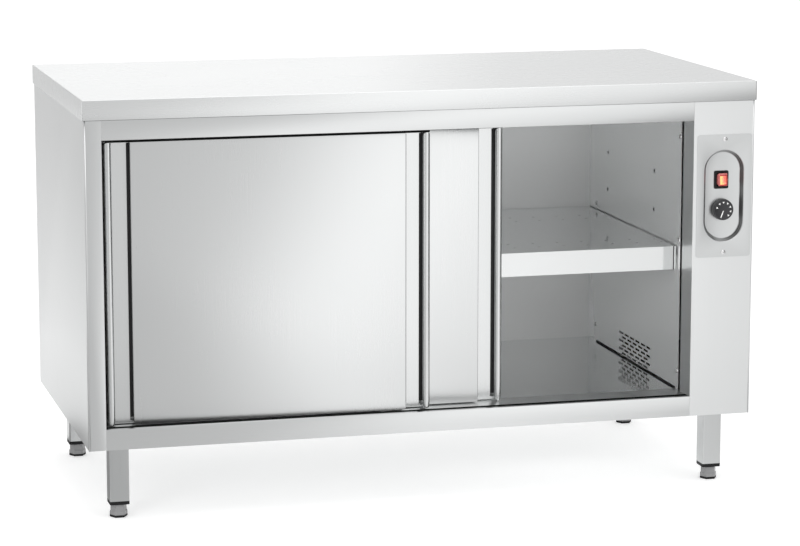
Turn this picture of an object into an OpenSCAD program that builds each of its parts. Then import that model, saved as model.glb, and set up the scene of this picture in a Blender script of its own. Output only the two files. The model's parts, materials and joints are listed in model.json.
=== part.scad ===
// Heated plate cabinet with a worktop, two sliding doors and a heated, insulated chamber.
// The origin is on the floor under the middle of the worktop.
// X runs to the right, Y to the back and Z up, in millimetres.

/* [Overall] */
// Width over the worktop
cabinet_w = 1400; // [1200:10:2000]
// Depth over the worktop
cabinet_d = 700; // [640:5:800]
// Height from the floor to the top of the worktop
cabinet_h = 850; // [820:5:950]
// Height from the floor to the underside of the casing
underside_z = 150; // [120:1:180]

/* [Worktop] */
// Height of the folded worktop edge
worktop_edge = 40; // [30:1:60]
// Sheet thickness of the worktop
worktop_sheet = 1.5; // [1:0.1:3]
// How far the worktop stands past the casing on every side
worktop_overhang = 3; // [1:0.5:10]
// Width of the flange folded in under the worktop edge
worktop_flange = 20; // [10:1:30]
// Outer radius of the worktop's folded edges
worktop_fold_r = 2; // [1.6:0.1:3]
// Width of one stiffening rib under the worktop
rib_w = 60; // [30:1:90]
// Number of stiffening ribs
rib_count = 5; // [3:1:8]
// Distance from the worktop's flange to the outermost rib
rib_inset = 60; // [20:1:100]

/* [Casing] */
// Sheet thickness of the casing, the front frame and the chamber lining
sheet = 1; // [0.8:0.1:1.5]
// Width of the left stile
stile_w = 35; // [30:1:50]
// Height of the top rail
top_rail_h = 40; // [38:1:60]
// Height of the bottom rail
bottom_rail_h = 42; // [30:1:60]
// Width of the control column
column_w = 132; // [128:1:180]
// Depth of the returns folded back beside the doors
jamb_d = 60; // [40:1:62]
// Gap between the insulation and the sheets around it
insulation_gap = 0.6; // [0.3:0.1:3]
// Gap between a return and the chamber wall behind it
jamb_gap = 10; // [1:0.5:15]
// Thickness of the insulated back
back_wall_t = 26; // [15:1:60]
// How far the chamber walls stand into the door opening
wall_step = 1; // [0.5:0.1:3]
// Distance from the front edge of a chamber wall to its front screws
wall_screw_front = 8; // [7:1:60]
// Distance from the back wall of the chamber to the back screws
wall_screw_back = 51; // [20:1:120]
// Height of the lowest wall screws over the chamber floor
wall_screw_low = 39; // [20:1:60]
// Height of the middle wall screws over the chamber floor
wall_screw_mid = 318; // [315:1:330]
// Distance of the highest wall screws below the top rail
wall_screw_top = 41.5; // [20:0.5:80]
// Height of the chamber ceiling over the underside of the top rail
ceiling_rise = 5; // [3:0.5:8]
// Depth of the flange folded back from the top and bottom rails
rail_flange = 84; // [80:1:86]

/* [Warm air outlet and return] */
// Length of one outlet slot
outlet_slot_l = 28; // [15:1:30]
// Height of one outlet slot
outlet_slot_h = 4.6; // [3:0.1:6]
// Distance between slots in a row
outlet_pitch_y = 36; // [34:0.5:40]
// Distance between rows of slots
outlet_pitch_z = 9; // [7.5:0.1:10]
// Number of rows of slots
outlet_rows = 6; // [2:1:7]
// Number of slots in the longer rows
outlet_columns = 6; // [3:1:7]
// Height of the lowest row of slots over the chamber floor
outlet_rise = 8; // [6:0.5:20]
// Height of the return slot under the right chamber wall
return_slot_h = 4; // [2:0.5:8]
// Length of the return slot under the right chamber wall
return_slot_l = 525; // [300:5:540]
// How far the return slot starts behind the front edge of the wall
return_slot_inset = 15; // [10:1:40]

/* [Doors] */
// Width of one door
door_w = 664; // [640:1:720]
// Thickness of one door
door_t = 25; // [24:0.5:27]
// Sheet thickness of the doors
door_sheet = 1; // [0.8:0.1:1.2]
// Distance from the front plane of the frame to the front door
door_setback = 24; // [22:0.5:26]
// Distance from the front of one door to the front of the other
door_pitch = 32; // [31:0.5:33]
// Gap between the doors and the top rail
door_gap_top = 8; // [6:0.5:12]
// Gap between the doors and the bottom rail
door_gap_bottom = 2; // [1.5:0.1:4]
// Gap between a closed door and the side of the opening
door_edge_gap = 8.5; // [4:0.5:10]
// How far the rear door stands open in the stored pose
rear_door_open = 162; // [0:1:300]
// Width of the rounded grip lip
lip_w = 14.5; // [10:0.5:16]
// Width of the finger recess beside the lip
recess_w = 37.5; // [28:0.5:50]
// Depth of the finger recess
recess_d = 18; // [14:0.5:20]
// Width of the dark slot beside the left lip of a door
left_lip_slot = 2; // [2:0.5:8]
// Width of the dark slot beside the right lip of a door
right_lip_slot = 5.5; // [2:0.5:8]
// Width of the dark slot beside the door face
face_slot = 5.5; // [2:0.5:6]
// How far the door face overhangs its folded side
face_overhang = 3; // [2:0.5:5]
// Height of the closed end over the slots at the top
slot_end_top = 3; // [2:0.5:15]
// Height of the closed end under the slots at the bottom
slot_end_bottom = 6; // [4:0.5:15]

/* [Door running gear] */
// Distance from the edge of a door to the middle of its hanger
hanger_inset = 71; // [60:1:120]
// Length of the foot of a hanger
hanger_l = 40; // [30:1:60]
// Sheet thickness of a hanger
hanger_t = 2; // [1.5:0.1:2.5]
// Radius of the hanger's axle
axle_r = 3; // [2:0.1:4]
// Radial clearance between an axle and its roller
axle_play = 0.05; // [0.02:0.01:0.1]
// Radius of the roller over its flanges
roller_r = 11; // [10:0.1:12]
// Depth of the groove that runs on the rail
roller_groove_d = 2; // [1:0.1:2.5]
// Thickness of the roller
roller_t = 8; // [7:0.1:8.5]
// Width of the groove in the roller
roller_groove_w = 3.5; // [2.5:0.1:4.5]
// Thickness of the rail that the rollers run on
rail_t = 1.5; // [1:0.1:2]
// Height of the rail's running edge over its ledge
rail_edge_h = 3.5; // [3:0.1:4]
// Height of the ledge over the underside of the top rail
ledge_rise = 4; // [3:0.5:5]
// Width of the bottom groove in a door
groove_w = 7; // [6.6:0.1:8]
// Depth of the bottom groove in a door
groove_d = 12; // [11:0.5:16]
// Length of the guide block on the bottom rail
guide_l = 45; // [20:1:60]
// Distance of the guide block left of the middle of the stretch under both doors
guide_shift = 24; // [0:1:30]
// Thickness of one fin of the guide block
guide_fin_t = 5; // [3:0.1:5.5]
// Height of one fin of the guide block
guide_fin_h = 10; // [6:0.5:10]

/* [Shelf] */
// Height of the top of the shelf over the chamber floor
shelf_z = 304; // [290:1:330]
// Height of the shelf's front lip
shelf_lip_h = 49; // [30:1:60]
// Height of the folded edges at the ends and the back of the shelf
shelf_edge_h = 24; // [15:1:25]
// Width of the flange folded in under an end of the shelf
shelf_flange = 15; // [12:1:25]
// Gap between an end of the shelf and the chamber wall
shelf_gap = 3; // [2.5:0.1:5]
// Gap between the shelf and the back wall
shelf_gap_back = 3; // [1:0.5:10]
// Width of the web of a shelf channel
channel_w = 34; // [20:1:50]
// Width of one flange of a shelf channel
channel_flange = 13; // [8:1:20]
// Distance from the front channel to the back one
channel_pitch = 342; // [200:1:400]
// Distance of the two channels together in front of the middle of the shelf
channel_shift = 31; // [0:1:40]
// Place of the front shelf supports behind the front plane
support_front = 233; // [150:1:300]
// Distance from the front supports to the back ones
support_pitch_y = 306; // [200:1:330]
// Distance between rows of support sockets
support_pitch_z = 83.3; // [60:0.1:83.3]
// Number of rows of support sockets
support_rows = 3; // [2:1:3]
// Radius of the pin of a shelf support
support_pin_r = 3; // [2:0.1:4]
// Width of the tab of a shelf support
support_tab_w = 14; // [8:1:20]
// How far the tab of a shelf support stands out from the wall
support_tab_l = 14; // [8:1:16]
// Thickness of the tab of a shelf support
support_tab_t = 5; // [3:0.5:8]

/* [Legs and feet] */
// Width of a leg
leg_w = 40; // [30:1:50]
// Wall of a leg
leg_wall = 1.5; // [1:0.1:3]
// Outer corner radius of a leg
leg_corner_r = 3; // [2:0.1:5]
// Distance from the side of the casing to a leg
leg_inset_side = 46; // [20:1:80]
// Distance from the front of the casing to the front legs
leg_inset_front = 38; // [20:1:80]
// Distance from the back of the casing to the back legs
leg_inset_back = 69; // [20:1:100]
// Height of the lower end of a leg
leg_bottom_z = 35; // [33:0.5:50]
// Thickness of the flange of a leg plug
plug_flange_t = 7; // [4:0.5:7]
// Height of a leg plug inside the leg
plug_h = 30; // [15:1:40]
// Radius of the stud of a foot
stud_r = 5; // [4:0.1:6]
// Length of the stud of a foot over its body
stud_l = 50; // [30:1:60]
// Width across the flats of a foot at its top
foot_af = 29; // [24:0.5:34]
// How much wider a foot is at its sole
foot_flare = 3; // [0:0.5:5]
// Thickness of the sole of a foot
sole_t = 5; // [2:0.5:8]

/* [Control panel] */
// Width of the control plate
plate_w = 120; // [112:1:125]
// Height of the control plate
plate_h = 256; // [230:1:300]
// Corner radius of the control plate
plate_corner_r = 6; // [3:0.5:10]
// Sheet thickness of the control plate
plate_t = 1; // [0.8:0.1:1.5]
// Distance of the middle of the control plate below the worktop edge
plate_drop = 197.5; // [170:0.5:300]
// Width of the pressed recess at the front
dish_w = 89; // [80:1:96]
// Height of the pressed recess at the front
dish_h = 194; // [180:1:210]
// Depth of the pressed recess
dish_d = 12; // [8:0.5:13]
// How far the walls of the recess slope in
dish_slope = 6; // [4:0.5:9]
// Distance between the two screws of the plate
plate_screw_pitch = 236; // [215:1:240]
// Distance of the switch above the middle of the plate
switch_rise = 32.5; // [28:0.5:36]
// Distance of the knob below the middle of the plate
knob_drop = 29.5; // [26:0.5:33]
// Width of the switch bezel
bezel_w = 31; // [28:0.5:33]
// Height of the switch bezel
bezel_h = 37.5; // [35:0.5:40]
// Thickness of the switch bezel
bezel_t = 2; // [1:0.1:3]
// Width of the rocker
rocker_w = 19.5; // [18:0.5:23]
// Height of the rocker
rocker_h = 27; // [22:0.5:28]
// How far the rocker stands out of the bezel
rocker_out = 10; // [3:0.5:10]
// Tilt of the rocker each way from its middle
rocker_tilt = 5; // [3:0.5:6]
// Radius of the pins that the rocker turns on
rocker_pin_r = 1.5; // [1:0.1:2]
// Diameter of the knob
knob_dia = 44; // [36:0.5:48]
// Height of the knob
knob_h = 12; // [11:0.5:16]
// Gap between the knob and the plate
knob_gap = 0.7; // [0.4:0.1:1.5]
// Distance of the top of the thermostat's sensor below the knob
sensor_drop = 190; // [120:1:250]
// Radius of the thermostat spindle
spindle_r = 3; // [2.5:0.1:4]

/* [Heating] */
// Radius of the blower wheel
wheel_r = 28; // [20:0.5:30]
// Length of the blower wheel
wheel_l = 184; // [150:1:190]
// Number of blades of the blower wheel
blade_count = 24; // [12:1:36]
// Thickness of a blade
blade_t = 0.8; // [0.5:0.1:1.2]
// Radial depth of a blade
blade_d = 7; // [5:0.5:9]
// Clearance between the blower wheel and its housing
wheel_gap = 3; // [2:0.5:4]
// Radius of the blower shaft
shaft_r = 3; // [2:0.1:4]
// Distance of the blower shaft from the right chamber wall
wheel_x = 52; // [50:0.5:58]
// Height of the blower shaft over the chamber floor
wheel_rise = 34; // [32:0.5:40]
// Radius of the blower motor
motor_r = 30; // [20:1:34]
// Length of the blower motor
motor_l = 45; // [30:1:60]
// Number of fins on the heater
fin_count = 22; // [8:1:30]
// Thickness of a fin
fin_t = 0.8; // [0.5:0.1:1.2]
// Width of a fin, away from the outlet
fin_w = 10; // [8:0.5:11]
// Height of a fin
fin_h = 44; // [30:1:46]
// Radius of a heating rod
rod_r = 3; // [2:0.1:4]

/* [Electrical] */
// Radius of the cable bore in the gland
gland_bore_r = 4.5; // [3:0.1:6]
// Radius of the threaded part of the gland
gland_thread_r = 8; // [7.5:0.1:10]
// Width across the flats of the gland's nuts
gland_af = 22; // [21:0.5:26]
// How far the gland stands below the casing
gland_out = 16; // [10:0.5:25]
// Number of poles of the terminal block
pole_count = 5; // [3:1:6]
// Distance between poles of the terminal block
pole_pitch = 10; // [8:0.5:14]
// Distance from the back of the casing to the middle of the terminal block
terminal_inset = 130; // [100:1:200]
// Distance from the back and the side of the casing to the gland
gland_inset = 57; // [50:1:80]

/* [Hidden] */
$fn = 48;

// Colours
steel = "#c9cbcb";
bright_steel = "#dcdedd";
dark_steel = "#8f9191";
black_plastic = "#1c1c1d";
grey_plastic = "#7d7e7f";
lit_red = "#e2543f";
wool = "#c9b77c";
white_nylon = "#eeeeea";
brass_yellow = "#b9973f";

// A small overlap so that cuts pass right through
eps = 0.5;

// Casing planes
casing_w = cabinet_w - 2 * worktop_overhang;
casing_d = cabinet_d - 2 * worktop_overhang;
side_x = casing_w / 2;
front_y = -casing_d / 2;
back_y = casing_d / 2;
casing_top = cabinet_h - worktop_edge;

// Door opening
open_x0 = -side_x + stile_w;
open_x1 = side_x - column_w;
open_z0 = underside_z + bottom_rail_h;
open_z1 = casing_top - top_rail_h;

// Chamber
chamber_x0 = open_x0 + wall_step;
chamber_x1 = open_x1 - wall_step;
chamber_y0 = front_y + jamb_d + jamb_gap;
chamber_y1 = back_y - back_wall_t;
ceiling_y0 = front_y + rail_flange + sheet;
ceiling_z = open_z1 + ceiling_rise;

// Doors
door_h = open_z1 - door_gap_top - open_z0 - door_gap_bottom;
door_z0 = open_z0 + door_gap_bottom;
front_door_x = open_x0 + door_edge_gap;
front_door_y = front_y + door_setback;
rear_door_x = front_door_x + rear_door_open;
rear_door_y = front_door_y + door_pitch;
door_travel = open_x1 - open_x0 - 2 * door_edge_gap - door_w;
grip_w = lip_w + recess_w;
lip_r = lip_w / 2;
face_wall_x = grip_w + face_overhang;

// Running gear, with depths measured back from the face of a door
rail_mid = 9;
ledge_z = open_z1 + ledge_rise;
running_z = ledge_z + rail_t + rail_edge_h;
groove_r = roller_r - roller_groove_d;
roller_gap = 0.3;
axle_z = running_z + groove_r + roller_gap;
hanger_plate_v = rail_mid + 6;
hanger_plate_w = 24;
hanger_foot_v = 4;
hanger_side_gap = 0.4;
axle_head_r = 5;
axle_head_t = 1.5;
rail_web_v = -6;
groove_v = door_t / 2 - groove_w / 2;
guide_plate_t = 1.4;
guide_margin = 3;

// Both doors always cover this stretch of the bottom rail
shared_x0 = front_door_x + door_travel;
shared_x1 = front_door_x + door_w;
guide_x = (shared_x0 + shared_x1 - guide_l) / 2 - guide_shift;

// Shelf
shelf_x0 = chamber_x0 + shelf_gap;
shelf_x1 = chamber_x1 - shelf_gap;
shelf_y0 = rear_door_y + door_t + 6;
shelf_y1 = chamber_y1 - shelf_gap_back;
shelf_top = open_z0 + shelf_z;
shelf_seat = shelf_top - shelf_edge_h;
seat_gap = 0.2;
support_z = shelf_seat - seat_gap - support_tab_t / 2;
support_ys = [front_y + support_front, front_y + support_front + support_pitch_y];
channel_mid_y = (shelf_y0 + shelf_y1) / 2 - channel_shift;

// Sockets and screws
socket_r = support_pin_r + 1.5;
socket_flange_r = 5;
socket_flange_t = 1;
socket_l = 10;
pin_play = 0.1;
screw_r = 2;
screw_head_r = 5;
screw_head_t = 2.2;
screw_l = 7;
screw_play = 0.2;
wall_screw_ys = [chamber_y0 + wall_screw_front, chamber_y1 - wall_screw_back];
wall_screw_zs = [open_z0 + wall_screw_low, open_z0 + wall_screw_mid, open_z1 - wall_screw_top];

// Legs and feet
leg_x = side_x - leg_inset_side - leg_w / 2;
leg_front_y = front_y + leg_inset_front + leg_w / 2;
leg_back_y = back_y - leg_inset_back - leg_w / 2;
plug_play = 0.3;
foot_top_z = leg_bottom_z - plug_flange_t - 0.5;
thread_play = 0.08;

// Control panel
column_mid_x = (open_x1 + side_x) / 2 + 1.5;
plate_y = front_y - plate_t;
plate_z = casing_top - plate_drop;
dish_floor_y = plate_y + dish_d;
dish_play = 1.5;
switch_z = plate_z + switch_rise;
knob_z = plate_z - knob_drop;
switch_x = column_mid_x - 2.5;
bezel_rim = 3.5;
switch_body_d = 24;
tag_pitch = 7;
tag_w = 6;
tag_t = 0.8;
tag_l = 8;
rocker_well_d = 12;
rocker_play = 1.3;
rocker_pivot_y = dish_floor_y + 3;
rocker_face_y = dish_floor_y - bezel_t - rocker_out;
pin_reach = 1.6;
knob_chamfer = 1.5;
knob_draft = 1;
knob_bore_d = 8;
spindle_play = 0.05;
thermostat_w = 40;
thermostat_d = 30;
collar_r = 5;
collar_l = 4;
bulb_r = 4;
bulb_l = 90;
bulb_gap = 0.3;
capillary_r = 1;
capillary_bend = 12;

// Blower and heater
shaft_x = chamber_x1 + sheet + wheel_x;
shaft_z = open_z0 + wheel_rise;
wheel_disc_t = 1.5;
housing_t = 1.5;
housing_r = wheel_r + wheel_gap + housing_t;
housing_l = wheel_l + 2 * wheel_gap;
fan_mid_y = 0;
housing_end_w = 2 * housing_r + 2;
bearing_play = 0.05;
rod_spread = fin_h / 2;
fin_x = chamber_x1 + sheet + 2;
motor_boss_r = 8;
motor_boss_l = 8;

// Gland and terminals
gland_x = side_x - gland_inset;
gland_y = back_y - gland_inset;
gland_nut_h = 5;
block_w = pole_count * pole_pitch + 6;
block_d = 24;
block_h = 18;
wire_hole_r = 2.5;
wire_hole_d = 8;
clamp_hole_d = 6;
block_y = back_y - terminal_inset;

// A box given by its two corners
module block(a, b) {
  translate(a) cube(b - a);
}

// A flat outline with round corners
module round_rect(w, h, r) {
  square([w - 2 * r, h], center = true);
  square([w, h - 2 * r], center = true);
  for (x = [-1, 1], y = [-1, 1]) {
    translate([x * (w / 2 - r), y * (h / 2 - r)]) circle(r);
  }
}

// An upright outline, drawn in X and Z, given a thickness towards the back
module upright(y, t) {
  translate([0, y + t, 0]) rotate([90, 0, 0]) linear_extrude(t) children();
}

// A round bar along Y from y to y + l
module bar_y(x, y, z, r, l) {
  translate([x, y, z]) rotate([-90, 0, 0]) cylinder(h = l, r = r);
}

// A round bar along X from x to x + l
module bar_x(x, y, z, r, l) {
  translate([x, y, z]) rotate([0, 90, 0]) cylinder(h = l, r = r);
}

// A block with round vertical and top edges
module soft_top_block(w, d, h, r) {
  block([-w / 2 + r, -d / 2, 0], [w / 2 - r, d / 2, h - r]);
  block([-w / 2, -d / 2 + r, 0], [w / 2, d / 2 - r, h - r]);
  block([-w / 2 + r, -d / 2 + r, 0], [w / 2 - r, d / 2 - r, h]);
  for (x = [-1, 1], y = [-1, 1]) {
    translate([x * (w / 2 - r), y * (d / 2 - r), 0]) {
      cylinder(h = h - r, r = r);
      translate([0, 0, h - r]) sphere(r);
    }
  }
  for (y = [-1, 1]) bar_x(-w / 2 + r, y * (d / 2 - r), h - r, r, w - 2 * r);
  for (x = [-1, 1]) bar_y(x * (w / 2 - r), -d / 2 + r, h - r, r, d - 2 * r);
}

module worktop() {
  inner_w = cabinet_w - 2 * worktop_sheet;
  inner_d = cabinet_d - 2 * worktop_sheet;
  mouth_w = inner_w - 2 * worktop_flange;
  mouth_d = inner_d - 2 * worktop_flange;
  color(bright_steel) translate([0, 0, casing_top]) difference() {
    soft_top_block(cabinet_w, cabinet_d, worktop_edge, worktop_fold_r);
    block([-inner_w / 2, -inner_d / 2, worktop_sheet],
          [inner_w / 2, inner_d / 2, worktop_edge - worktop_sheet]);
    block([-mouth_w / 2, -mouth_d / 2, -eps], [mouth_w / 2, mouth_d / 2, worktop_sheet + eps]);
  }
}

module worktop_ribs() {
  rib_h = worktop_edge - worktop_sheet;
  rib_l = cabinet_d - 2 * worktop_sheet - 2 * worktop_flange - 4;
  span = cabinet_w - 2 * worktop_flange - 2 * rib_w - 2 * rib_inset;
  color(dark_steel) for (i = [0 : rib_count - 1]) {
    translate([-span / 2 + i * span / (rib_count - 1), 0, casing_top]) difference() {
      block([-rib_w / 2, -rib_l / 2, 0], [rib_w / 2, rib_l / 2, rib_h]);
      block([-rib_w / 2 + worktop_sheet, -rib_l / 2 - eps, -eps],
            [rib_w / 2 - worktop_sheet, rib_l / 2 + eps, rib_h - worktop_sheet]);
    }
  }
}

module side_panel(outer_x, inner_x) {
  color(steel) block([min(outer_x, inner_x), front_y + sheet, underside_z],
                     [max(outer_x, inner_x), back_y - sheet, casing_top]);
}

module left_side_panel() {
  side_panel(-side_x, -side_x + sheet);
}

module right_side_panel() {
  side_panel(side_x, side_x - sheet);
}

module back_panel() {
  color(steel) {
    block([-side_x, back_y - sheet, underside_z], [side_x, back_y, casing_top]);
    block([-side_x + sheet, back_y - worktop_flange, casing_top - sheet],
          [side_x - sheet, back_y - sheet, casing_top]);
  }
}

module base_panel() {
  color(steel) difference() {
    block([-side_x + sheet, front_y + sheet, underside_z],
          [side_x - sheet, back_y - sheet, underside_z + sheet]);
    translate([gland_x, gland_y, underside_z - eps]) {
      cylinder(h = sheet + 2 * eps, r = gland_thread_r + screw_play);
    }
  }
}

module left_stile() {
  color(steel) {
    block([-side_x, front_y, underside_z], [open_x0, front_y + sheet, casing_top]);
    block([open_x0 - sheet, front_y, underside_z + sheet],
          [open_x0, front_y + jamb_d, casing_top]);
  }
}

// A rail folded from sheet, with a face and a deep flange for the doors
module rail(z0, z1, flange_z, lip_z, lip_d) {
  color(steel) {
    block([open_x0, front_y, z0], [open_x1, front_y + sheet, z1]);
    block([open_x0, front_y, flange_z], [open_x1, front_y + rail_flange, flange_z + sheet]);
    block([open_x0, front_y, lip_z], [open_x1, front_y + lip_d, lip_z + sheet]);
  }
}

module top_rail() {
  rail(open_z1, casing_top, casing_top - sheet, open_z1, door_setback + rail_web_v - 1);
}

module bottom_rail() {
  rail(underside_z, open_z0, open_z0 - sheet, open_z0 - sheet, sheet);
}

// The stadium outline of the control recess, grown by a margin
module stadium(w, h) {
  square([w, h - w], center = true);
  for (s = [-1, 1]) translate([0, s * (h - w) / 2]) circle(w / 2);
}

module control_column() {
  color(steel) difference() {
    union() {
      block([open_x1, front_y, underside_z], [side_x, front_y + sheet, casing_top]);
      block([open_x1, front_y, underside_z + sheet],
            [open_x1 + sheet, front_y + jamb_d, casing_top]);
    }
    translate([column_mid_x, 0, plate_z]) {
      upright(front_y - eps, sheet + 2 * eps) stadium(dish_w + dish_play, dish_h + dish_play);
    }
    for (s = [-1, 1]) {
      bar_y(column_mid_x, front_y - eps, plate_z + s * plate_screw_pitch / 2,
            screw_r + screw_play, sheet + 2 * eps);
    }
  }
}

// Holes in a chamber wall for its screws and support sockets
module wall_holes(x, l) {
  for (y = wall_screw_ys, z = wall_screw_zs) bar_x(x, y, z, screw_r + screw_play, l);
  for (y = support_ys, i = [0 : support_rows - 1]) {
    bar_x(x, y, support_z + i * support_pitch_z, socket_r + pin_play, l);
  }
}

// The lower edge of a side wall beside the chamber floor, behind the bottom rail's flange
module wall_foot(x) {
  block([x, front_y + rail_flange, open_z0 - sheet], [x + sheet, chamber_y1, open_z0]);
}

module left_inner_wall() {
  color(steel) difference() {
    union() {
      block([chamber_x0 - sheet, chamber_y0, open_z0], [chamber_x0, chamber_y1, ceiling_z]);
      wall_foot(chamber_x0 - sheet);
    }
    wall_holes(chamber_x0 - sheet - eps, sheet + 2 * eps);
  }
}

module right_inner_wall() {
  slots_y0 = fan_mid_y - (outlet_columns - 1) * outlet_pitch_y / 2 - outlet_slot_l / 2;
  color(steel) difference() {
    union() {
      block([chamber_x1, chamber_y0, open_z0], [chamber_x1 + sheet, chamber_y1, ceiling_z]);
      wall_foot(chamber_x1);
    }
    wall_holes(chamber_x1 - eps, sheet + 2 * eps);
    block([chamber_x1 - eps, chamber_y0 + return_slot_inset, open_z0],
          [chamber_x1 + sheet + eps, chamber_y0 + return_slot_inset + return_slot_l,
           open_z0 + return_slot_h]);
    for (row = [0 : outlet_rows - 1], i = [0 : outlet_columns - 1 - (row + 1) % 2]) {
      y = slots_y0 + (i + ((row + 1) % 2) / 2) * outlet_pitch_y;
      z = open_z0 + outlet_rise + row * outlet_pitch_z;
      block([chamber_x1 - eps, y, z - outlet_slot_h / 2],
            [chamber_x1 + sheet + eps, y + outlet_slot_l, z + outlet_slot_h / 2]);
    }
  }
}

module back_inner_wall() {
  color(steel) block([chamber_x0 - sheet, chamber_y1, open_z0 - sheet],
                     [chamber_x1 + sheet, chamber_y1 + sheet, ceiling_z]);
}

module inner_ceiling() {
  color(steel) {
    block([chamber_x0 - sheet, ceiling_y0 - sheet, ceiling_z],
          [chamber_x1 + sheet, chamber_y1 + sheet, ceiling_z + sheet]);
    block([chamber_x0 - sheet, ceiling_y0 - sheet, ceiling_z],
          [chamber_x1 + sheet, ceiling_y0, casing_top - sheet]);
  }
}

module inner_floor() {
  color(steel) block([chamber_x0, front_y + rail_flange, open_z0 - sheet],
                     [chamber_x1, chamber_y1, open_z0]);
}

module insulation() {
  g = insulation_gap;
  bottom_z = underside_z + sheet;
  x0 = -side_x + sheet + g;
  wall_x = chamber_x0 - sheet - g;
  top_z = casing_top - sheet - g;
  color(wool) {
    // Under the chamber
    block([open_x0 + g, front_y + sheet + g, bottom_z],
          [open_x1 - g, chamber_y1 + sheet, open_z0 - sheet - g]);
    // Behind the chamber
    block([x0, chamber_y1 + sheet + g, bottom_z], [open_x1 - g, back_y - sheet - g, top_z]);
    // Over the chamber
    block([chamber_x0 - sheet, ceiling_y0 + g, ceiling_z + sheet + g],
          [chamber_x1 + sheet, chamber_y1, top_z]);
    // Left of the chamber
    difference() {
      block([x0, chamber_y0, bottom_z], [wall_x, chamber_y1 + sheet, top_z]);
      wall_holes(wall_x - socket_l - 2, socket_l + 3);
    }
  }
}

// One running rail of the track: a web, a ledge and an upturned running edge
module track_rail(y) {
  block([chamber_x0, y + rail_web_v, ledge_z], [chamber_x1, y + rail_web_v + rail_t,
         casing_top - sheet]);
  block([chamber_x0, y + rail_web_v, ledge_z], [chamber_x1, y + rail_mid + rail_t / 2,
         ledge_z + rail_t]);
  block([chamber_x0, y + rail_mid - rail_t / 2, ledge_z], [chamber_x1, y + rail_mid + rail_t / 2,
         running_z]);
}

module door_track() {
  color(dark_steel) {
    track_rail(front_door_y);
    track_rail(rear_door_y);
    block([chamber_x0, front_door_y + rail_web_v, casing_top - sheet - 2],
          [chamber_x1, front_y + rail_flange, casing_top - sheet]);
  }
}

module door_guide() {
  fin_v = door_t / 2 - guide_fin_t / 2;
  color(white_nylon) {
    block([guide_x, front_door_y + fin_v - guide_margin, open_z0],
          [guide_x + guide_l, rear_door_y + fin_v + guide_fin_t + guide_margin,
           open_z0 + guide_plate_t]);
    for (y = [front_door_y, rear_door_y]) {
      block([guide_x, y + fin_v, open_z0],
            [guide_x + guide_l, y + fin_v + guide_fin_t, open_z0 + guide_fin_h]);
    }
  }
}

module shelf_supports() {
  tab_z = shelf_seat - seat_gap - support_tab_t;
  pin_l = socket_l - 1;
  color(bright_steel) for (y = support_ys) {
    block([chamber_x0 + socket_flange_t, y - support_tab_w / 2, tab_z],
          [chamber_x0 + support_tab_l, y + support_tab_w / 2, tab_z + support_tab_t]);
    bar_x(chamber_x0 - pin_l, y, support_z, support_pin_r, pin_l + socket_flange_t + eps);
    block([chamber_x1 - support_tab_l, y - support_tab_w / 2, tab_z],
          [chamber_x1 - socket_flange_t, y + support_tab_w / 2, tab_z + support_tab_t]);
    bar_x(chamber_x1 - socket_flange_t - eps, y, support_z, support_pin_r,
          pin_l + socket_flange_t + eps);
  }
}

// A flanged socket whose flange lies on the face of a chamber wall
module socket(x, y, z, inward) {
  translate([x, y, z]) rotate([0, inward * 90, 0]) difference() {
    union() {
      translate([0, 0, -socket_l]) cylinder(h = socket_l, r = socket_r);
      cylinder(h = socket_flange_t, r = socket_flange_r);
    }
    translate([0, 0, -socket_l - eps]) {
      cylinder(h = socket_l + socket_flange_t + 2 * eps, r = support_pin_r + pin_play);
    }
  }
}

module support_sockets() {
  color(dark_steel) for (y = support_ys, i = [0 : support_rows - 1]) {
    socket(chamber_x0, y, support_z + i * support_pitch_z, 1);
    socket(chamber_x1, y, support_z + i * support_pitch_z, -1);
  }
}

module panel_screws() {
  color(bright_steel) {
    for (y = wall_screw_ys, z = wall_screw_zs) {
      bar_x(chamber_x0, y, z, screw_head_r, screw_head_t);
      bar_x(chamber_x0 - screw_l, y, z, screw_r, screw_l + eps);
      bar_x(chamber_x1 - screw_head_t, y, z, screw_head_r, screw_head_t);
      bar_x(chamber_x1 - eps, y, z, screw_r, screw_l + eps);
    }
    for (s = [-1, 1]) {
      z = plate_z + s * plate_screw_pitch / 2;
      bar_y(column_mid_x, plate_y - screw_head_t, z, screw_head_r, screw_head_t);
      bar_y(column_mid_x, plate_y - eps, z, screw_r, screw_l + eps);
    }
  }
}

module leg(x, y) {
  inner = leg_w - 2 * leg_wall;
  color(steel) translate([x, y, leg_bottom_z]) linear_extrude(underside_z - leg_bottom_z) {
    difference() {
      round_rect(leg_w, leg_w, leg_corner_r);
      square([inner, inner], center = true);
    }
  }
}

module front_left_leg() {
  leg(-leg_x, leg_front_y);
}

module front_right_leg() {
  leg(leg_x, leg_front_y);
}

module back_left_leg() {
  leg(-leg_x, leg_back_y);
}

module back_right_leg() {
  leg(leg_x, leg_back_y);
}

module leg_plugs() {
  inner = leg_w - 2 * leg_wall - 2 * plug_play;
  color(black_plastic) for (x = [-leg_x, leg_x], y = [leg_front_y, leg_back_y]) {
    translate([x, y, leg_bottom_z]) difference() {
      union() {
        translate([0, 0, -plug_flange_t]) linear_extrude(plug_flange_t) {
          round_rect(leg_w - plug_play, leg_w - plug_play, leg_corner_r);
        }
        block([-inner / 2, -inner / 2, 0], [inner / 2, inner / 2, plug_h]);
      }
      translate([0, 0, -plug_flange_t - eps]) {
        cylinder(h = plug_flange_t + plug_h + 2 * eps, r = stud_r + thread_play);
      }
    }
  }
}

// A hexagon whose width across the flats is af
module hexagon(af) {
  circle(r = af / 2 / cos(30), $fn = 6);
}

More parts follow.
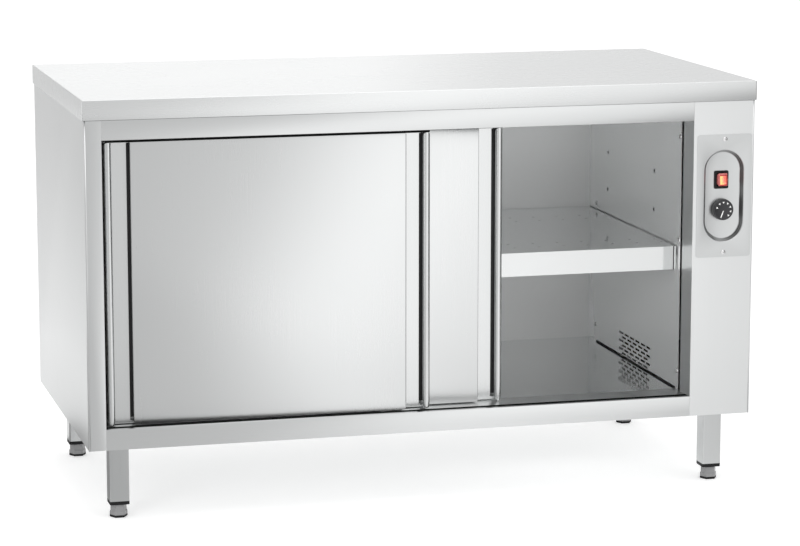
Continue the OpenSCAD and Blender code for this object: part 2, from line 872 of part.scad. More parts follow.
module foot(x, y) {
  color(grey_plastic) translate([x, y, 0]) {
    translate([0, 0, sole_t]) {
      linear_extrude(foot_top_z - sole_t) hexagon(foot_af);
      linear_extrude((foot_top_z - sole_t) / 3) hexagon(foot_af + foot_flare);
    }
    translate([0, 0, foot_top_z]) cylinder(h = stud_l, r = stud_r);
  }
  color(black_plastic) translate([x, y, 0]) {
    linear_extrude(sole_t) hexagon(foot_af + foot_flare);
  }
}

module front_left_foot() {
  foot(-leg_x, leg_front_y);
}

module front_right_foot() {
  foot(leg_x, leg_front_y);
}

module back_left_foot() {
  foot(-leg_x, leg_back_y);
}

module back_right_foot() {
  foot(leg_x, leg_back_y);
}

// A stadium that narrows towards the back, with cone ends and a wedge between them
module tapered_stadium(w, h, slope, d) {
  for (s = [-1, 1]) {
    translate([0, 0, s * (h - w) / 2]) rotate([-90, 0, 0]) {
      cylinder(h = d, r1 = w / 2, r2 = w / 2 - slope);
    }
  }
  translate([0, 0, -(h - w) / 2]) linear_extrude(h - w) {
    polygon([[-w / 2, 0], [w / 2, 0], [w / 2 - slope, d], [-w / 2 + slope, d]]);
  }
}

module control_plate() {
  cut = 0.01;
  color(steel) translate([column_mid_x, plate_y, plate_z]) difference() {
    union() {
      upright(0, plate_t) round_rect(plate_w, plate_h, plate_corner_r);
      tapered_stadium(dish_w, dish_h, dish_slope, dish_d + plate_t);
    }
    translate([0, -cut, 0]) {
      tapered_stadium(dish_w - 2 * plate_t, dish_h - 2 * plate_t, dish_slope, dish_d + cut);
    }
    for (s = [-1, 1]) {
      bar_y(0, -eps, s * plate_screw_pitch / 2, screw_r + screw_play, plate_t + 2 * eps);
    }
    bar_y(0, dish_d - eps, knob_z - plate_z, collar_r + screw_play, plate_t + 2 * eps);
    block([switch_x - column_mid_x - bezel_w / 2 + bezel_rim - screw_play, dish_d - eps,
           switch_rise - bezel_h / 2 + bezel_rim - screw_play],
          [switch_x - column_mid_x + bezel_w / 2 - bezel_rim + screw_play, dish_d + plate_t + eps,
           switch_rise + bezel_h / 2 - bezel_rim + screw_play]);
  }
}

module switch_housing() {
  body_w = bezel_w - 2 * bezel_rim;
  body_h = bezel_h - 2 * bezel_rim;
  well_h = rocker_h + 2 * rocker_play;
  color(black_plastic) translate([switch_x, dish_floor_y, switch_z]) difference() {
    union() {
      upright(-bezel_t, bezel_t) round_rect(bezel_w, bezel_h, 3);
      block([-body_w / 2, -bezel_t, -body_h / 2], [body_w / 2, switch_body_d, body_h / 2]);
      for (x = [-1, 0, 1]) {
        block([x * tag_pitch - tag_t / 2, switch_body_d - eps, -tag_w / 2],
              [x * tag_pitch + tag_t / 2, switch_body_d + tag_l, tag_w / 2]);
      }
    }
    block([-rocker_w / 2 - 0.4, -bezel_t - eps, -well_h / 2],
          [rocker_w / 2 + 0.4, rocker_well_d, well_h / 2]);
    bar_x(-bezel_w, rocker_pivot_y - dish_floor_y, 0, rocker_pin_r + bearing_play, 2 * bezel_w);
  }
}

// The rocker's two faces meet in a shallow valley, and the upper one is pressed in at rest
module switch_rocker() {
  front = rocker_pivot_y - rocker_face_y;
  rise = rocker_h / 2 * tan(rocker_tilt);
  back = 4;
  color(lit_red) translate([switch_x, rocker_pivot_y, switch_z]) rotate([-rocker_tilt, 0, 0]) {
    rotate([90, 0, 90]) translate([0, 0, -rocker_w / 2]) linear_extrude(rocker_w) {
      polygon([[-front - rise / 2, -rocker_h / 2], [-front + rise / 2, 0],
               [-front - rise / 2, rocker_h / 2], [0, rocker_h / 2], [back, rocker_h / 4],
               [back, -rocker_h / 4], [0, -rocker_h / 2]]);
    }
    bar_x(-rocker_w / 2 - pin_reach, 0, 0, rocker_pin_r, rocker_w + 2 * pin_reach);
  }
}

// A tube along the sensor line: down, across and down again
module capillary(x0, z0, x1, z1) {
  y = 0;
  mid_z = (z0 + z1) / 2;
  translate([x0, y, mid_z]) cylinder(h = z0 - mid_z, r = capillary_r);
  translate([x0 - capillary_bend, y, mid_z]) rotate([90, 0, 0]) rotate([0, 0, -90]) {
    rotate_extrude(angle = 90) translate([capillary_bend, 0]) circle(capillary_r, $fn = 24);
  }
  bar_x(x1 + capillary_bend, y, mid_z - capillary_bend, capillary_r,
        x0 - x1 - 2 * capillary_bend);
  translate([x1 + capillary_bend, y, mid_z - 2 * capillary_bend]) rotate([90, 0, 0]) {
    rotate([0, 0, 90]) rotate_extrude(angle = 90) {
      translate([capillary_bend, 0]) circle(capillary_r, $fn = 24);
    }
  }
  translate([x1, y, z1]) cylinder(h = mid_z - 2 * capillary_bend - z1, r = capillary_r);
}

module thermostat() {
  body_y = dish_floor_y + plate_t;
  bulb_x = open_x1 + sheet + bulb_r + bulb_gap;
  bulb_top = knob_z - sensor_drop;
  line_y = body_y + thermostat_d / 2;
  color(brass_yellow) {
    difference() {
      union() {
        block([column_mid_x - thermostat_w / 2, body_y, knob_z - thermostat_w / 2],
              [column_mid_x + thermostat_w / 2, body_y + thermostat_d,
               knob_z + thermostat_w / 2]);
        bar_y(column_mid_x, body_y - plate_t, knob_z, collar_r, collar_l);
      }
      bar_y(column_mid_x, body_y - plate_t - eps, knob_z, spindle_r + spindle_play,
            thermostat_d / 2);
    }
    translate([0, line_y, 0]) {
      capillary(column_mid_x, knob_z - thermostat_w / 2 + eps, bulb_x, bulb_top - eps);
    }
    translate([bulb_x, line_y, bulb_top - bulb_l]) cylinder(h = bulb_l, r = bulb_r);
  }
}

module thermostat_spindle() {
  depth = 8;
  tip_y = dish_floor_y - knob_gap - knob_bore_d + 0.5;
  color(dark_steel) {
    bar_y(column_mid_x, tip_y, knob_z, spindle_r, dish_floor_y + plate_t + depth - tip_y);
  }
}

module thermostat_knob() {
  r = knob_dia / 2;
  color(black_plastic) translate([column_mid_x, dish_floor_y - knob_gap, knob_z]) {
    rotate([90, 0, 0]) difference() {
      union() {
        cylinder(h = knob_h - knob_chamfer, r1 = r + knob_draft, r2 = r);
        translate([0, 0, knob_h - knob_chamfer]) {
          cylinder(h = knob_chamfer, r1 = r, r2 = r - knob_chamfer);
        }
      }
      translate([0, 0, -eps]) cylinder(h = knob_bore_d + eps, r = spindle_r + spindle_play);
    }
  }
}

module terminal_block() {
  color(white_nylon) translate([column_mid_x, block_y, underside_z + sheet]) difference() {
    block([-block_w / 2, -block_d / 2, 0], [block_w / 2, block_d / 2, block_h]);
    for (i = [0 : pole_count - 1]) {
      x = -(pole_count - 1) * pole_pitch / 2 + i * pole_pitch;
      bar_y(x, -block_d / 2 - eps, block_h / 2, wire_hole_r, wire_hole_d);
      bar_y(x, block_d / 2 - wire_hole_d + eps, block_h / 2, wire_hole_r, wire_hole_d);
      translate([x, 0, block_h - clamp_hole_d]) cylinder(h = clamp_hole_d + eps, r = wire_hole_r);
    }
  }
}

// The gland is clamped in the base panel and its mouth points down
module cable_gland() {
  inside = 10;
  color(black_plastic) translate([gland_x, gland_y, underside_z]) difference() {
    union() {
      translate([0, 0, -gland_out]) cylinder(h = gland_out + sheet + inside, r = gland_thread_r);
      translate([0, 0, -gland_nut_h]) linear_extrude(gland_nut_h) hexagon(gland_af);
      translate([0, 0, -gland_out]) linear_extrude(gland_out - gland_nut_h - 2) {
        hexagon(gland_af - 3);
      }
      translate([0, 0, sheet]) linear_extrude(gland_nut_h) hexagon(gland_af);
    }
    translate([0, 0, -gland_out - eps]) {
      cylinder(h = gland_out + sheet + inside + 2 * eps, r = gland_bore_r);
    }
  }
}

module fan_housing() {
  end_gap = 0.4;
  x0 = shaft_x - housing_end_w / 2;
  x1 = shaft_x + housing_end_w / 2;
  y0 = fan_mid_y - housing_l / 2;
  color(dark_steel) difference() {
    union() {
      difference() {
        bar_y(shaft_x, y0, shaft_z, housing_r, housing_l);
        bar_y(shaft_x, y0 - eps, shaft_z, housing_r - housing_t, housing_l + 2 * eps);
        // The mouth towards the heater and the inlet towards the right side
        block([shaft_x - housing_r - eps, y0 - eps, shaft_z - housing_r * 0.75],
              [shaft_x, y0 + housing_l + eps, shaft_z + housing_r * 0.75]);
        block([shaft_x, y0 - eps, shaft_z - housing_r * 0.35],
              [shaft_x + housing_r + eps, y0 + housing_l + eps, shaft_z + housing_r * 0.6]);
      }
      for (y = [y0 - housing_t, y0 + housing_l]) {
        block([x0, y, underside_z + sheet], [x1, y + housing_t, shaft_z + housing_r + 1]);
        block([fin_x - 1, y, shaft_z - fin_h / 2], [x0 + eps, y + housing_t,
               shaft_z + fin_h / 2]);
      }
    }
    bar_y(shaft_x, y0 - housing_t - eps, shaft_z, shaft_r + bearing_play,
          housing_l + 2 * housing_t + 2 * eps);
    for (s = [-1, 1]) {
      bar_y(fin_x + fin_w / 2, y0 - housing_t - eps, shaft_z + s * rod_spread / 2,
            rod_r + end_gap, housing_l + 2 * housing_t + 2 * eps);
    }
  }
}

module fan_motor() {
  y0 = fan_mid_y + housing_l / 2 + housing_t;
  color(dark_steel) difference() {
    union() {
      bar_y(shaft_x, y0, shaft_z, motor_r, motor_l);
      bar_y(shaft_x, y0 + motor_l - eps, shaft_z, motor_boss_r, motor_boss_l);
    }
    bar_y(shaft_x, y0 - eps, shaft_z, shaft_r + bearing_play, motor_l / 2);
  }
}

module fan_wheel() {
  y0 = fan_mid_y - wheel_l / 2;
  front_stub = wheel_gap + housing_t + 2;
  back_stub = wheel_gap + housing_t + motor_l / 3;
  color(bright_steel) {
    bar_y(shaft_x, y0 - front_stub, shaft_z, shaft_r, wheel_l + front_stub + back_stub);
    for (y = [y0, fan_mid_y - wheel_disc_t / 2, y0 + wheel_l - wheel_disc_t]) {
      bar_y(shaft_x, y, shaft_z, wheel_r, wheel_disc_t);
    }
    translate([shaft_x, 0, shaft_z]) for (i = [0 : blade_count - 1]) {
      rotate([0, i * 360 / blade_count, 0]) translate([wheel_r - blade_d - 0.5, 0, 0]) {
        rotate([0, 25, 0]) block([0, y0, -blade_t / 2], [blade_d, y0 + wheel_l, blade_t / 2]);
      }
    }
  }
}

module heater() {
  l = housing_l + 2 * housing_t;
  fins_l = housing_l - 12;
  color(bright_steel) {
    for (s = [-1, 1]) {
      bar_y(fin_x + fin_w / 2, fan_mid_y - l / 2 - 4, shaft_z + s * rod_spread / 2, rod_r, l + 8);
    }
    for (i = [0 : fin_count - 1]) {
      y = fan_mid_y - fins_l / 2 + i * fins_l / (fin_count - 1);
      block([fin_x, y - fin_t / 2, shaft_z - fin_h / 2],
            [fin_x + fin_w, y + fin_t / 2, shaft_z + fin_h / 2]);
    }
  }
}

module shelf() {
  lip_flange = 14;
  color(bright_steel) {
    block([shelf_x0, shelf_y0, shelf_top - sheet], [shelf_x1, shelf_y1, shelf_top]);
    block([shelf_x0, shelf_y0, shelf_top - shelf_lip_h], [shelf_x1, shelf_y0 + sheet, shelf_top]);
    block([shelf_x0, shelf_y0, shelf_top - shelf_lip_h],
          [shelf_x1, shelf_y0 + lip_flange, shelf_top - shelf_lip_h + sheet]);
    block([shelf_x0, shelf_y1 - sheet, shelf_seat], [shelf_x1, shelf_y1, shelf_top]);
    for (x = [shelf_x0, shelf_x1 - sheet]) {
      block([x, shelf_y0, shelf_seat], [x + sheet, shelf_y1, shelf_top]);
    }
    for (x = [shelf_x0, shelf_x1 - shelf_flange]) {
      block([x, shelf_y0 + lip_flange, shelf_seat], [x + shelf_flange, shelf_y1,
             shelf_seat + sheet]);
    }
  }
}

module shelf_channels() {
  z0 = shelf_seat;
  z1 = shelf_top - sheet;
  x0 = shelf_x0 + shelf_flange + 5;
  x1 = shelf_x1 - shelf_flange - 5;
  color(dark_steel) for (s = [-1, 1]) {
    translate([0, channel_mid_y + s * channel_pitch / 2, 0]) {
      block([x0, -channel_w / 2, z0], [x1, channel_w / 2, z0 + sheet]);
      for (m = [0, 1]) mirror([0, m, 0]) {
        block([x0, channel_w / 2 - sheet, z0], [x1, channel_w / 2, z1]);
        block([x0, channel_w / 2 - sheet, z1 - sheet],
              [x1, channel_w / 2 + channel_flange, z1]);
      }
    }
  }
}

// The groove along the bottom of a door that runs over the guide's fin
module door_groove() {
  block([-eps, groove_v, -eps], [door_w + eps, groove_v + groove_w, groove_d]);
}

// The face of a door, folded back at the top, at the bottom and inside its overhanging edges
module door_face(x0, y0) {
  x1 = door_w - grip_w;
  wall_x1 = door_w - face_wall_x;
  depth = door_t - door_sheet;
  color(bright_steel) translate([x0, y0, door_z0]) difference() {
    union() {
      block([grip_w, 0, 0], [x1, door_sheet, door_h]);
      block([grip_w, 0, 0], [face_wall_x + door_sheet, 2 * door_sheet, door_h]);
      block([wall_x1 - door_sheet, 0, 0], [x1, 2 * door_sheet, door_h]);
      block([face_wall_x, 0, 0], [face_wall_x + door_sheet, depth, door_h]);
      block([wall_x1 - door_sheet, 0, 0], [wall_x1, depth, door_h]);
      block([face_wall_x, 0, 0], [wall_x1, depth, door_sheet]);
      block([face_wall_x, 0, door_h - door_sheet], [wall_x1, depth, door_h]);
    }
    door_groove();
  }
}

module door_back(x0, y0) {
  color(steel) translate([x0 + door_w / 2, y0, door_z0 + door_h / 2]) {
    upright(door_t - door_sheet, door_sheet) round_rect(door_w, door_h, lip_r);
  }
}

module door_core(x0, y0) {
  inner_x0 = face_wall_x + door_sheet;
  depth = door_t - door_sheet;
  top = door_h - slot_end_top;
  color(black_plastic) translate([x0, y0, door_z0]) {
    difference() {
      block([inner_x0, 2 * door_sheet, door_sheet], [door_w - inner_x0, depth,
             door_h - door_sheet]);
      door_groove();
    }
    for (m = [0, 1]) translate([m * door_w, 0, 0]) mirror([m, 0, 0]) {
      block([door_sheet, recess_d + door_sheet, groove_d],
            [face_wall_x - door_sheet, depth, top]);
    }
  }
}

// A finger recess and its rounded lip, folded from one sheet, with the lip at x = 0
module grip(x0, y0, flip) {
  depth = door_t - door_sheet;
  slot_z1 = door_h - slot_end_top;
  lip_slot = flip == 0 ? left_lip_slot : right_lip_slot;
  color(bright_steel) translate([x0, y0, door_z0]) mirror([flip, 0, 0]) difference() {
    union() {
      block([lip_r, recess_d, 0], [face_wall_x, recess_d + door_sheet, door_h]);
      block([face_wall_x - door_sheet, recess_d, 0], [face_wall_x, depth, door_h]);
      intersection() {
        linear_extrude(door_h) difference() {
          union() {
            translate([lip_r, lip_r]) circle(lip_r);
            translate([0, lip_r]) square([lip_w, depth - lip_r]);
          }
          translate([lip_r, lip_r]) circle(lip_r - door_sheet);
          translate([door_sheet, lip_r]) square([lip_w, recess_d - lip_r]);
          translate([door_sheet, recess_d + door_sheet]) square([lip_w, depth]);
        }
        translate([lip_r, 0, door_h / 2]) upright(-eps, door_t + 2 * eps) {
          stadium(lip_w, door_h);
        }
      }
    }
    block([door_sheet, recess_d - eps, slot_end_bottom],
          [lip_w + lip_slot, recess_d + door_sheet + eps, slot_z1]);
    block([grip_w - face_slot, recess_d - eps, slot_end_bottom],
          [face_wall_x - door_sheet, recess_d + door_sheet + eps, slot_z1]);
    translate([0, groove_v, -eps]) cube([door_w, groove_w, groove_d]);
  }
}

module door_hangers(x0, y0) {
  top = door_z0 + door_h;
  color(dark_steel) for (u = [hanger_inset, door_w - hanger_inset]) {
    translate([x0 + u, y0, 0]) {
      block([-hanger_l / 2, hanger_foot_v, top],
            [hanger_l / 2, door_t - hanger_foot_v, top + hanger_t]);
      block([-hanger_plate_w / 2, hanger_plate_v, top],
            [hanger_plate_w / 2, hanger_plate_v + hanger_t, axle_z + 9]);
      bar_y(0, rail_mid - roller_t / 2 - hanger_side_gap - axle_head_t, axle_z, axle_r,
            hanger_plate_v - rail_mid + roller_t / 2 + hanger_side_gap + axle_head_t + eps);
      bar_y(0, rail_mid - roller_t / 2 - hanger_side_gap - axle_head_t, axle_z, axle_head_r,
            axle_head_t);
      bar_y(0, rail_mid + roller_t / 2 + hanger_side_gap, axle_z, axle_head_r,
            hanger_plate_v - rail_mid - roller_t / 2 - hanger_side_gap + eps);
    }
  }
}

module roller(x, y0) {
  half = roller_t / 2;
  g = roller_groove_w / 2;
  color(white_nylon) translate([x, y0 + rail_mid, axle_z]) rotate([90, 0, 0]) rotate_extrude() {
    polygon([[axle_r + axle_play, -half], [roller_r, -half], [roller_r, -g], [groove_r, -g],
             [groove_r, g], [roller_r, g], [roller_r, half], [axle_r + axle_play, half]]);
  }
}

module front_door_face() {
  door_face(front_door_x, front_door_y);
}

module front_door_back() {
  door_back(front_door_x, front_door_y);
}

module front_door_core() {
  door_core(front_door_x, front_door_y);
}

module front_door_left_grip() {
  grip(front_door_x, front_door_y, 0);
}

module front_door_right_grip() {
  grip(front_door_x + door_w, front_door_y, 1);
}

module front_door_hangers() {
  door_hangers(front_door_x, front_door_y);
}

module front_door_left_roller() {
  roller(front_door_x + hanger_inset, front_door_y);
}

module front_door_right_roller() {
  roller(front_door_x + door_w - hanger_inset, front_door_y);
}

module rear_door_face() {
  door_face(rear_door_x, rear_door_y);
}

module rear_door_back() {
  door_back(rear_door_x, rear_door_y);
}

module rear_door_core() {
  door_core(rear_door_x, rear_door_y);
}

module rear_door_left_grip() {
  grip(rear_door_x, rear_door_y, 0);
}

module rear_door_right_grip() {
  grip(rear_door_x + door_w, rear_door_y, 1);
}

module rear_door_hangers() {
  door_hangers(rear_door_x, rear_door_y);
}

module rear_door_left_roller() {
  roller(rear_door_x + hanger_inset, rear_door_y);
}

module rear_door_right_roller() {
  roller(rear_door_x + door_w - hanger_inset, rear_door_y);
}

worktop();
worktop_ribs();
left_side_panel();
right_side_panel();
back_panel();
base_panel();
left_stile();
top_rail();
bottom_rail();
control_column();
left_inner_wall();
right_inner_wall();
back_inner_wall();
inner_ceiling();
inner_floor();
insulation();
door_track();
door_guide();
shelf_supports();
support_sockets();
panel_screws();
front_left_leg();
front_right_leg();
back_left_leg();
back_right_leg();
leg_plugs();
control_plate();
switch_housing();
switch_rocker();
thermostat();
thermostat_spindle();
thermostat_knob();
terminal_block();
cable_gland();
heater();
fan_housing();
fan_motor();
fan_wheel();
shelf();
shelf_channels();
front_left_foot();
front_right_foot();
back_left_foot();
back_right_foot();
front_door_face();
front_door_back();
front_door_core();
front_door_left_grip();
front_door_right_grip();
front_door_hangers();
front_door_left_roller();
front_door_right_roller();
rear_door_face();
rear_door_back();
rear_door_core();
rear_door_left_grip();
rear_door_right_grip();
rear_door_hangers();
rear_door_left_roller();
rear_door_right_roller();
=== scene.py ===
import json
import math

import bmesh
import bpy
from mathutils import Matrix, Vector


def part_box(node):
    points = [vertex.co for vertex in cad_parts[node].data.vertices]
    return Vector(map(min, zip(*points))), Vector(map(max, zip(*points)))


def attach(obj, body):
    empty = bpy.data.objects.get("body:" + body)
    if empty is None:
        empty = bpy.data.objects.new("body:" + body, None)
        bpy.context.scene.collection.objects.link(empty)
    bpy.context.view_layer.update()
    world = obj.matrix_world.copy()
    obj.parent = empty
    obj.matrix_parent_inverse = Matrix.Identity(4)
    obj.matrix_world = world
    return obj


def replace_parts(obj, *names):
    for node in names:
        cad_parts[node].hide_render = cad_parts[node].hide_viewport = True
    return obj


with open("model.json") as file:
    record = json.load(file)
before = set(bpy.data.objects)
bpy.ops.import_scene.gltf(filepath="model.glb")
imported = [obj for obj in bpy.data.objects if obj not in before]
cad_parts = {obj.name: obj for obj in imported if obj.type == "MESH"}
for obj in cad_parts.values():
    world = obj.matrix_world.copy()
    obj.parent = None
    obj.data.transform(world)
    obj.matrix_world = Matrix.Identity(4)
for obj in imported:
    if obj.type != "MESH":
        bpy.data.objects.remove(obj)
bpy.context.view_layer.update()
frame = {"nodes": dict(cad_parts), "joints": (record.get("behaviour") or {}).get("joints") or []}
nodes = frame["nodes"]

# Casing. Side, back and base panels are folded from 1 mm satin stainless sheet.
# The grain left by the rolls runs upwards on the sides and the back, and along
# the base. The sheets are spot-welded, so no fixings show on the sides.

casing_colour = (0.70, 0.71, 0.71)
casing_roughness = 0.30
sharp_angle = math.radians(32)
flat_angle = math.radians(0.5)
same_point = 0.000005


class Value:
    """A number socket of a material that can be used in Python expressions."""

    def __init__(self, material, socket):
        self.material = material
        self.socket = socket

    def maths(self, operation, *values):
        return self.material.node("ShaderNodeMath", {"operation": operation},
                                  dict(enumerate(values)))

    def __add__(self, other):
        return self.maths("ADD", self, other)

    __radd__ = __add__

    def __sub__(self, other):
        return self.maths("SUBTRACT", self, other)

    def __mul__(self, other):
        return self.maths("MULTIPLY", self, other)

    def __abs__(self):
        return self.maths("ABSOLUTE", self)

    def __gt__(self, other):
        return self.maths("GREATER_THAN", self, other)

    def __mod__(self, other):
        return self.maths("FLOORED_MODULO", self, other)

    def __pow__(self, other):
        return self.maths("POWER", self, other)

    def least(self, other):
        return self.maths("MINIMUM", self, other)


class Material:
    """One finish: a Principled shader and the nodes that vary it."""

    def __init__(self, name, colour, roughness, metallic=0.0, **constants):
        self.data = bpy.data.materials.new(name)
        self.data.use_nodes = True
        self.data.diffuse_color = (*colour, 1.0)
        self.tree = self.data.node_tree
        self.shader = self.tree.nodes["Principled BSDF"]
        self.colour = (*colour, 1.0)
        self.roughness = roughness
        self.shader.inputs["Base Color"].default_value = self.colour
        self.shader.inputs["Roughness"].default_value = roughness
        self.shader.inputs["Metallic"].default_value = metallic
        for socket, value in constants.items():
            self.shader.inputs[socket.replace("_", " ")].default_value = value

    def node(self, kind, settings, values, output=0):
        """A shader node, with its settings and its inputs, and one of its outputs."""
        made = self.tree.nodes.new(kind)
        for name, value in settings.items():
            setattr(made, name, value)
        for name, value in values.items():
            if isinstance(value, Value):
                self.tree.links.new(value.socket, made.inputs[name])
            else:
                made.inputs[name].default_value = value
        return Value(self, made.outputs[output])

    def place(self, scale=(1, 1, 1), centre=(0, 0, 0)):
        """Object coordinates, measured from a centre and stretched."""
        here = self.node("ShaderNodeTexCoord", {}, {}, "Object")
        shift = [-c * s for c, s in zip(centre, scale)]
        return self.node("ShaderNodeMapping", {},
                         {"Vector": here, "Location": shift, "Scale": scale})

    def axes(self, place):
        """The X, Y and Z of a place."""
        return [self.node("ShaderNodeSeparateXYZ", {}, {"Vector": place}, i) for i in range(3)]

    def noise(self, place, scale, detail=2.0):
        return self.node("ShaderNodeTexNoise", {},
                         {"Vector": place, "Scale": scale, "Detail": detail})

    def ramp(self, value, low, high):
        """0 below low, 1 above high, and a straight slope between them."""
        return self.node("ShaderNodeMapRange", {"clamp": True},
                         {"Value": value, "From Min": low, "From Max": high})

    def mix(self, factor, a, b):
        """Colour a where the factor is 0, and colour b where it is 1."""
        colours = {0: factor, 6: a, 7: b}
        return self.node("ShaderNodeMix", {"data_type": "RGBA"}, colours, 2)

    def bump(self, height, distance):
        return self.node("ShaderNodeBump", {},
                         {"Height": height, "Distance": distance, "Strength": 1.0})

    def vary(self, socket, value):
        self.tree.links.new(value.socket, self.shader.inputs[socket])

    def tint(self, factor, shade):
        """Base Color between the finish's own colour and a shade of it."""
        other = (*[c * shade for c in self.colour[:3]], 1.0)
        self.vary("Base Color", self.mix(factor, self.colour, other))


def stainless(name, colour, roughness, grain, streak=0.03, ripple=0.000002,
              metallic=1.0):
    """Rolled stainless sheet with its grain along the axis "x", "y" or "z"."""
    along_grain, across_grain = 4.0, 700.0
    cloud_rough, touch_rough = 0.04, 0.02
    darkest = 0.965
    steel = Material(name, colour, roughness, metallic)
    stretch = [along_grain if axis == grain else across_grain for axis in "xyz"]
    lines = steel.noise(steel.place(stretch), 1.0, 3.0)
    cloud = steel.noise(steel.place(), 3.0, 3.0)
    touch = steel.ramp(steel.noise(steel.place(), 16.0, 4.0), 0.58, 0.75)
    varied = (roughness + (lines - 0.5) * streak + (cloud - 0.5) * cloud_rough
              + touch * touch_rough)
    steel.vary("Roughness", varied)
    steel.tint(lines * 0.6 + cloud * 0.4, darkest)
    steel.vary("Normal", steel.bump(lines, ripple))
    return steel


def dress(name, material, edge=0.0003):
    """Gives a CAD node its finish and the small radius that a real edge has, or clean
    corners where the radius is 0, as on pieces that are full of small holes."""
    piece = nodes[name]
    piece.data.materials.clear()
    piece.data.materials.append(material.data)
    for face in piece.data.polygons:
        face.use_smooth = True
        face.material_index = 0
    weld = piece.modifiers.new("joined faces", "WELD")
    weld.merge_threshold = same_point
    whole = piece.modifiers.new("whole faces", "DECIMATE")
    whole.decimate_type = "DISSOLVE"
    whole.angle_limit = flat_angle
    if edge == 0:
        piece.modifiers.new("clean corners", "EDGE_SPLIT").split_angle = sharp_angle
        return
    bevel = piece.modifiers.new("edge radius", "BEVEL")
    bevel.width = edge
    bevel.segments = 2
    bevel.limit_method = "ANGLE"
    bevel.angle_limit = sharp_angle
    bevel.harden_normals = True


upright_steel = stainless("satin_steel_upright", casing_colour, casing_roughness, "z")
level_steel = stainless("satin_steel_level", casing_colour, casing_roughness, "x")
for panel in ("left_side_panel", "right_side_panel", "back_panel"):
    dress(panel, upright_steel)
dress("base_panel", level_steel)

# Rivets. Blind rivets with low domed heads hold the edges of the outer back
# panel and of the base panel to the folded flanges inside. They are plain
# stainless, set in even rows close to the edges.

rivet_r = 0.0032
rivet_h = 0.0011
rivet_inset = 0.018
rivet_rows = 6
rivet_steps = 16


def new_piece(name, mesh, material, body, smooth=True):
    """A finished bmesh as an object of its own, riding on a body of the frame."""
    bmesh.ops.recalc_face_normals(mesh, faces=mesh.faces)
    for face in mesh.faces:
        face.smooth = smooth
    data = bpy.data.meshes.new(name)
    mesh.to_mesh(data)
    mesh.free()
    data.materials.append(material.data)
    piece = bpy.data.objects.new(name, data)
    bpy.context.scene.collection.objects.link(piece)
    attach(piece, body)
    return piece


def soften(piece, width, segments=3, angle=30):
    """Rounds the sharp edges of a new piece."""
    bevel = piece.modifiers.new("edge radius", "BEVEL")
    bevel.width = width
    bevel.segments = segments
    bevel.limit_method = "ANGLE"
    bevel.angle_limit = math.radians(angle)
    bevel.harden_normals = True
    return piece


def lathe(mesh, profile, steps, turn):
    """Spins a profile of (radius, height) pairs round Z, and then turns and places it."""
    points = [mesh.verts.new((r, 0, z)) for r, z in profile]
    edges = [mesh.edges.new(pair) for pair in zip(points, points[1:])]
    bmesh.ops.spin(mesh, geom=points + edges, axis=(0, 0, 1), cent=(0, 0, 0),
                   angle=2 * math.pi, steps=steps, use_merge=True)
    made = set(points)
    front = list(made)
    while front:
        near = {e.other_vert(v) for v in front for e in v.link_edges} - made
        made |= near
        front = list(near)
    bmesh.ops.remove_doubles(mesh, verts=list(made), dist=0.000001)
    kept = [v for v in made if v.is_valid]
    bmesh.ops.transform(mesh, matrix=turn, verts=kept)


casing_low, casing_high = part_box("back_panel")
base_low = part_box("base_panel")[0]
towards_back = Matrix.Rotation(math.radians(-90), 4, "X")
downwards = Matrix.Rotation(math.radians(180), 4, "X")
rivet_profile = [(rivet_r, 0), (rivet_r * 0.96, rivet_h * 0.4),
                 (rivet_r * 0.75, rivet_h * 0.8), (rivet_r * 0.4, rivet_h), (0, rivet_h)]
rivet_steel = Material("rivet_steel", (0.72, 0.73, 0.73), 0.32, 1.0)
rivet_steel.tint(rivet_steel.noise(rivet_steel.place(), 900.0), 0.9)
rivets = bmesh.new()
for i in range(rivet_rows):
    share = i / (rivet_rows - 1)
    row_w = casing_high.x - casing_low.x - 2 * rivet_inset
    row_h = casing_high.z - casing_low.z - 3 * rivet_inset
    across = casing_low.x + rivet_inset + share * row_w
    up = casing_low.z + rivet_inset + share * row_h
    for z in (casing_low.z + rivet_inset, casing_high.z - 2 * rivet_inset):
        lathe(rivets, rivet_profile, rivet_steps,
              Matrix.Translation((across, casing_high.y, z)) @ towards_back)
    for x in (casing_low.x + rivet_inset, casing_high.x - rivet_inset):
        lathe(rivets, rivet_profile, rivet_steps,
              Matrix.Translation((x, casing_high.y, up)) @ towards_back)
    for y in (casing_high.y - rivet_inset, -casing_high.y + rivet_inset):
        lathe(rivets, rivet_profile, rivet_steps,
              Matrix.Translation((across, y, base_low.z)) @ downwards)
new_piece("casing_rivets", rivets, rivet_steel, "cabinet")

# Front frame. A stile, two rails and the control column are folded from the
# same satin sheet and welded flush, so only fine seams show between them. The
# stile and the column are grained upwards and the rails along their length.

dress("left_stile", upright_steel)
column_steel = stainless("satin_steel_column", casing_colour, casing_roughness, "z",
                         metallic=0.85)
dress("control_column", column_steel, 0)
dress("top_rail", level_steel)
dress("bottom_rail", level_steel)
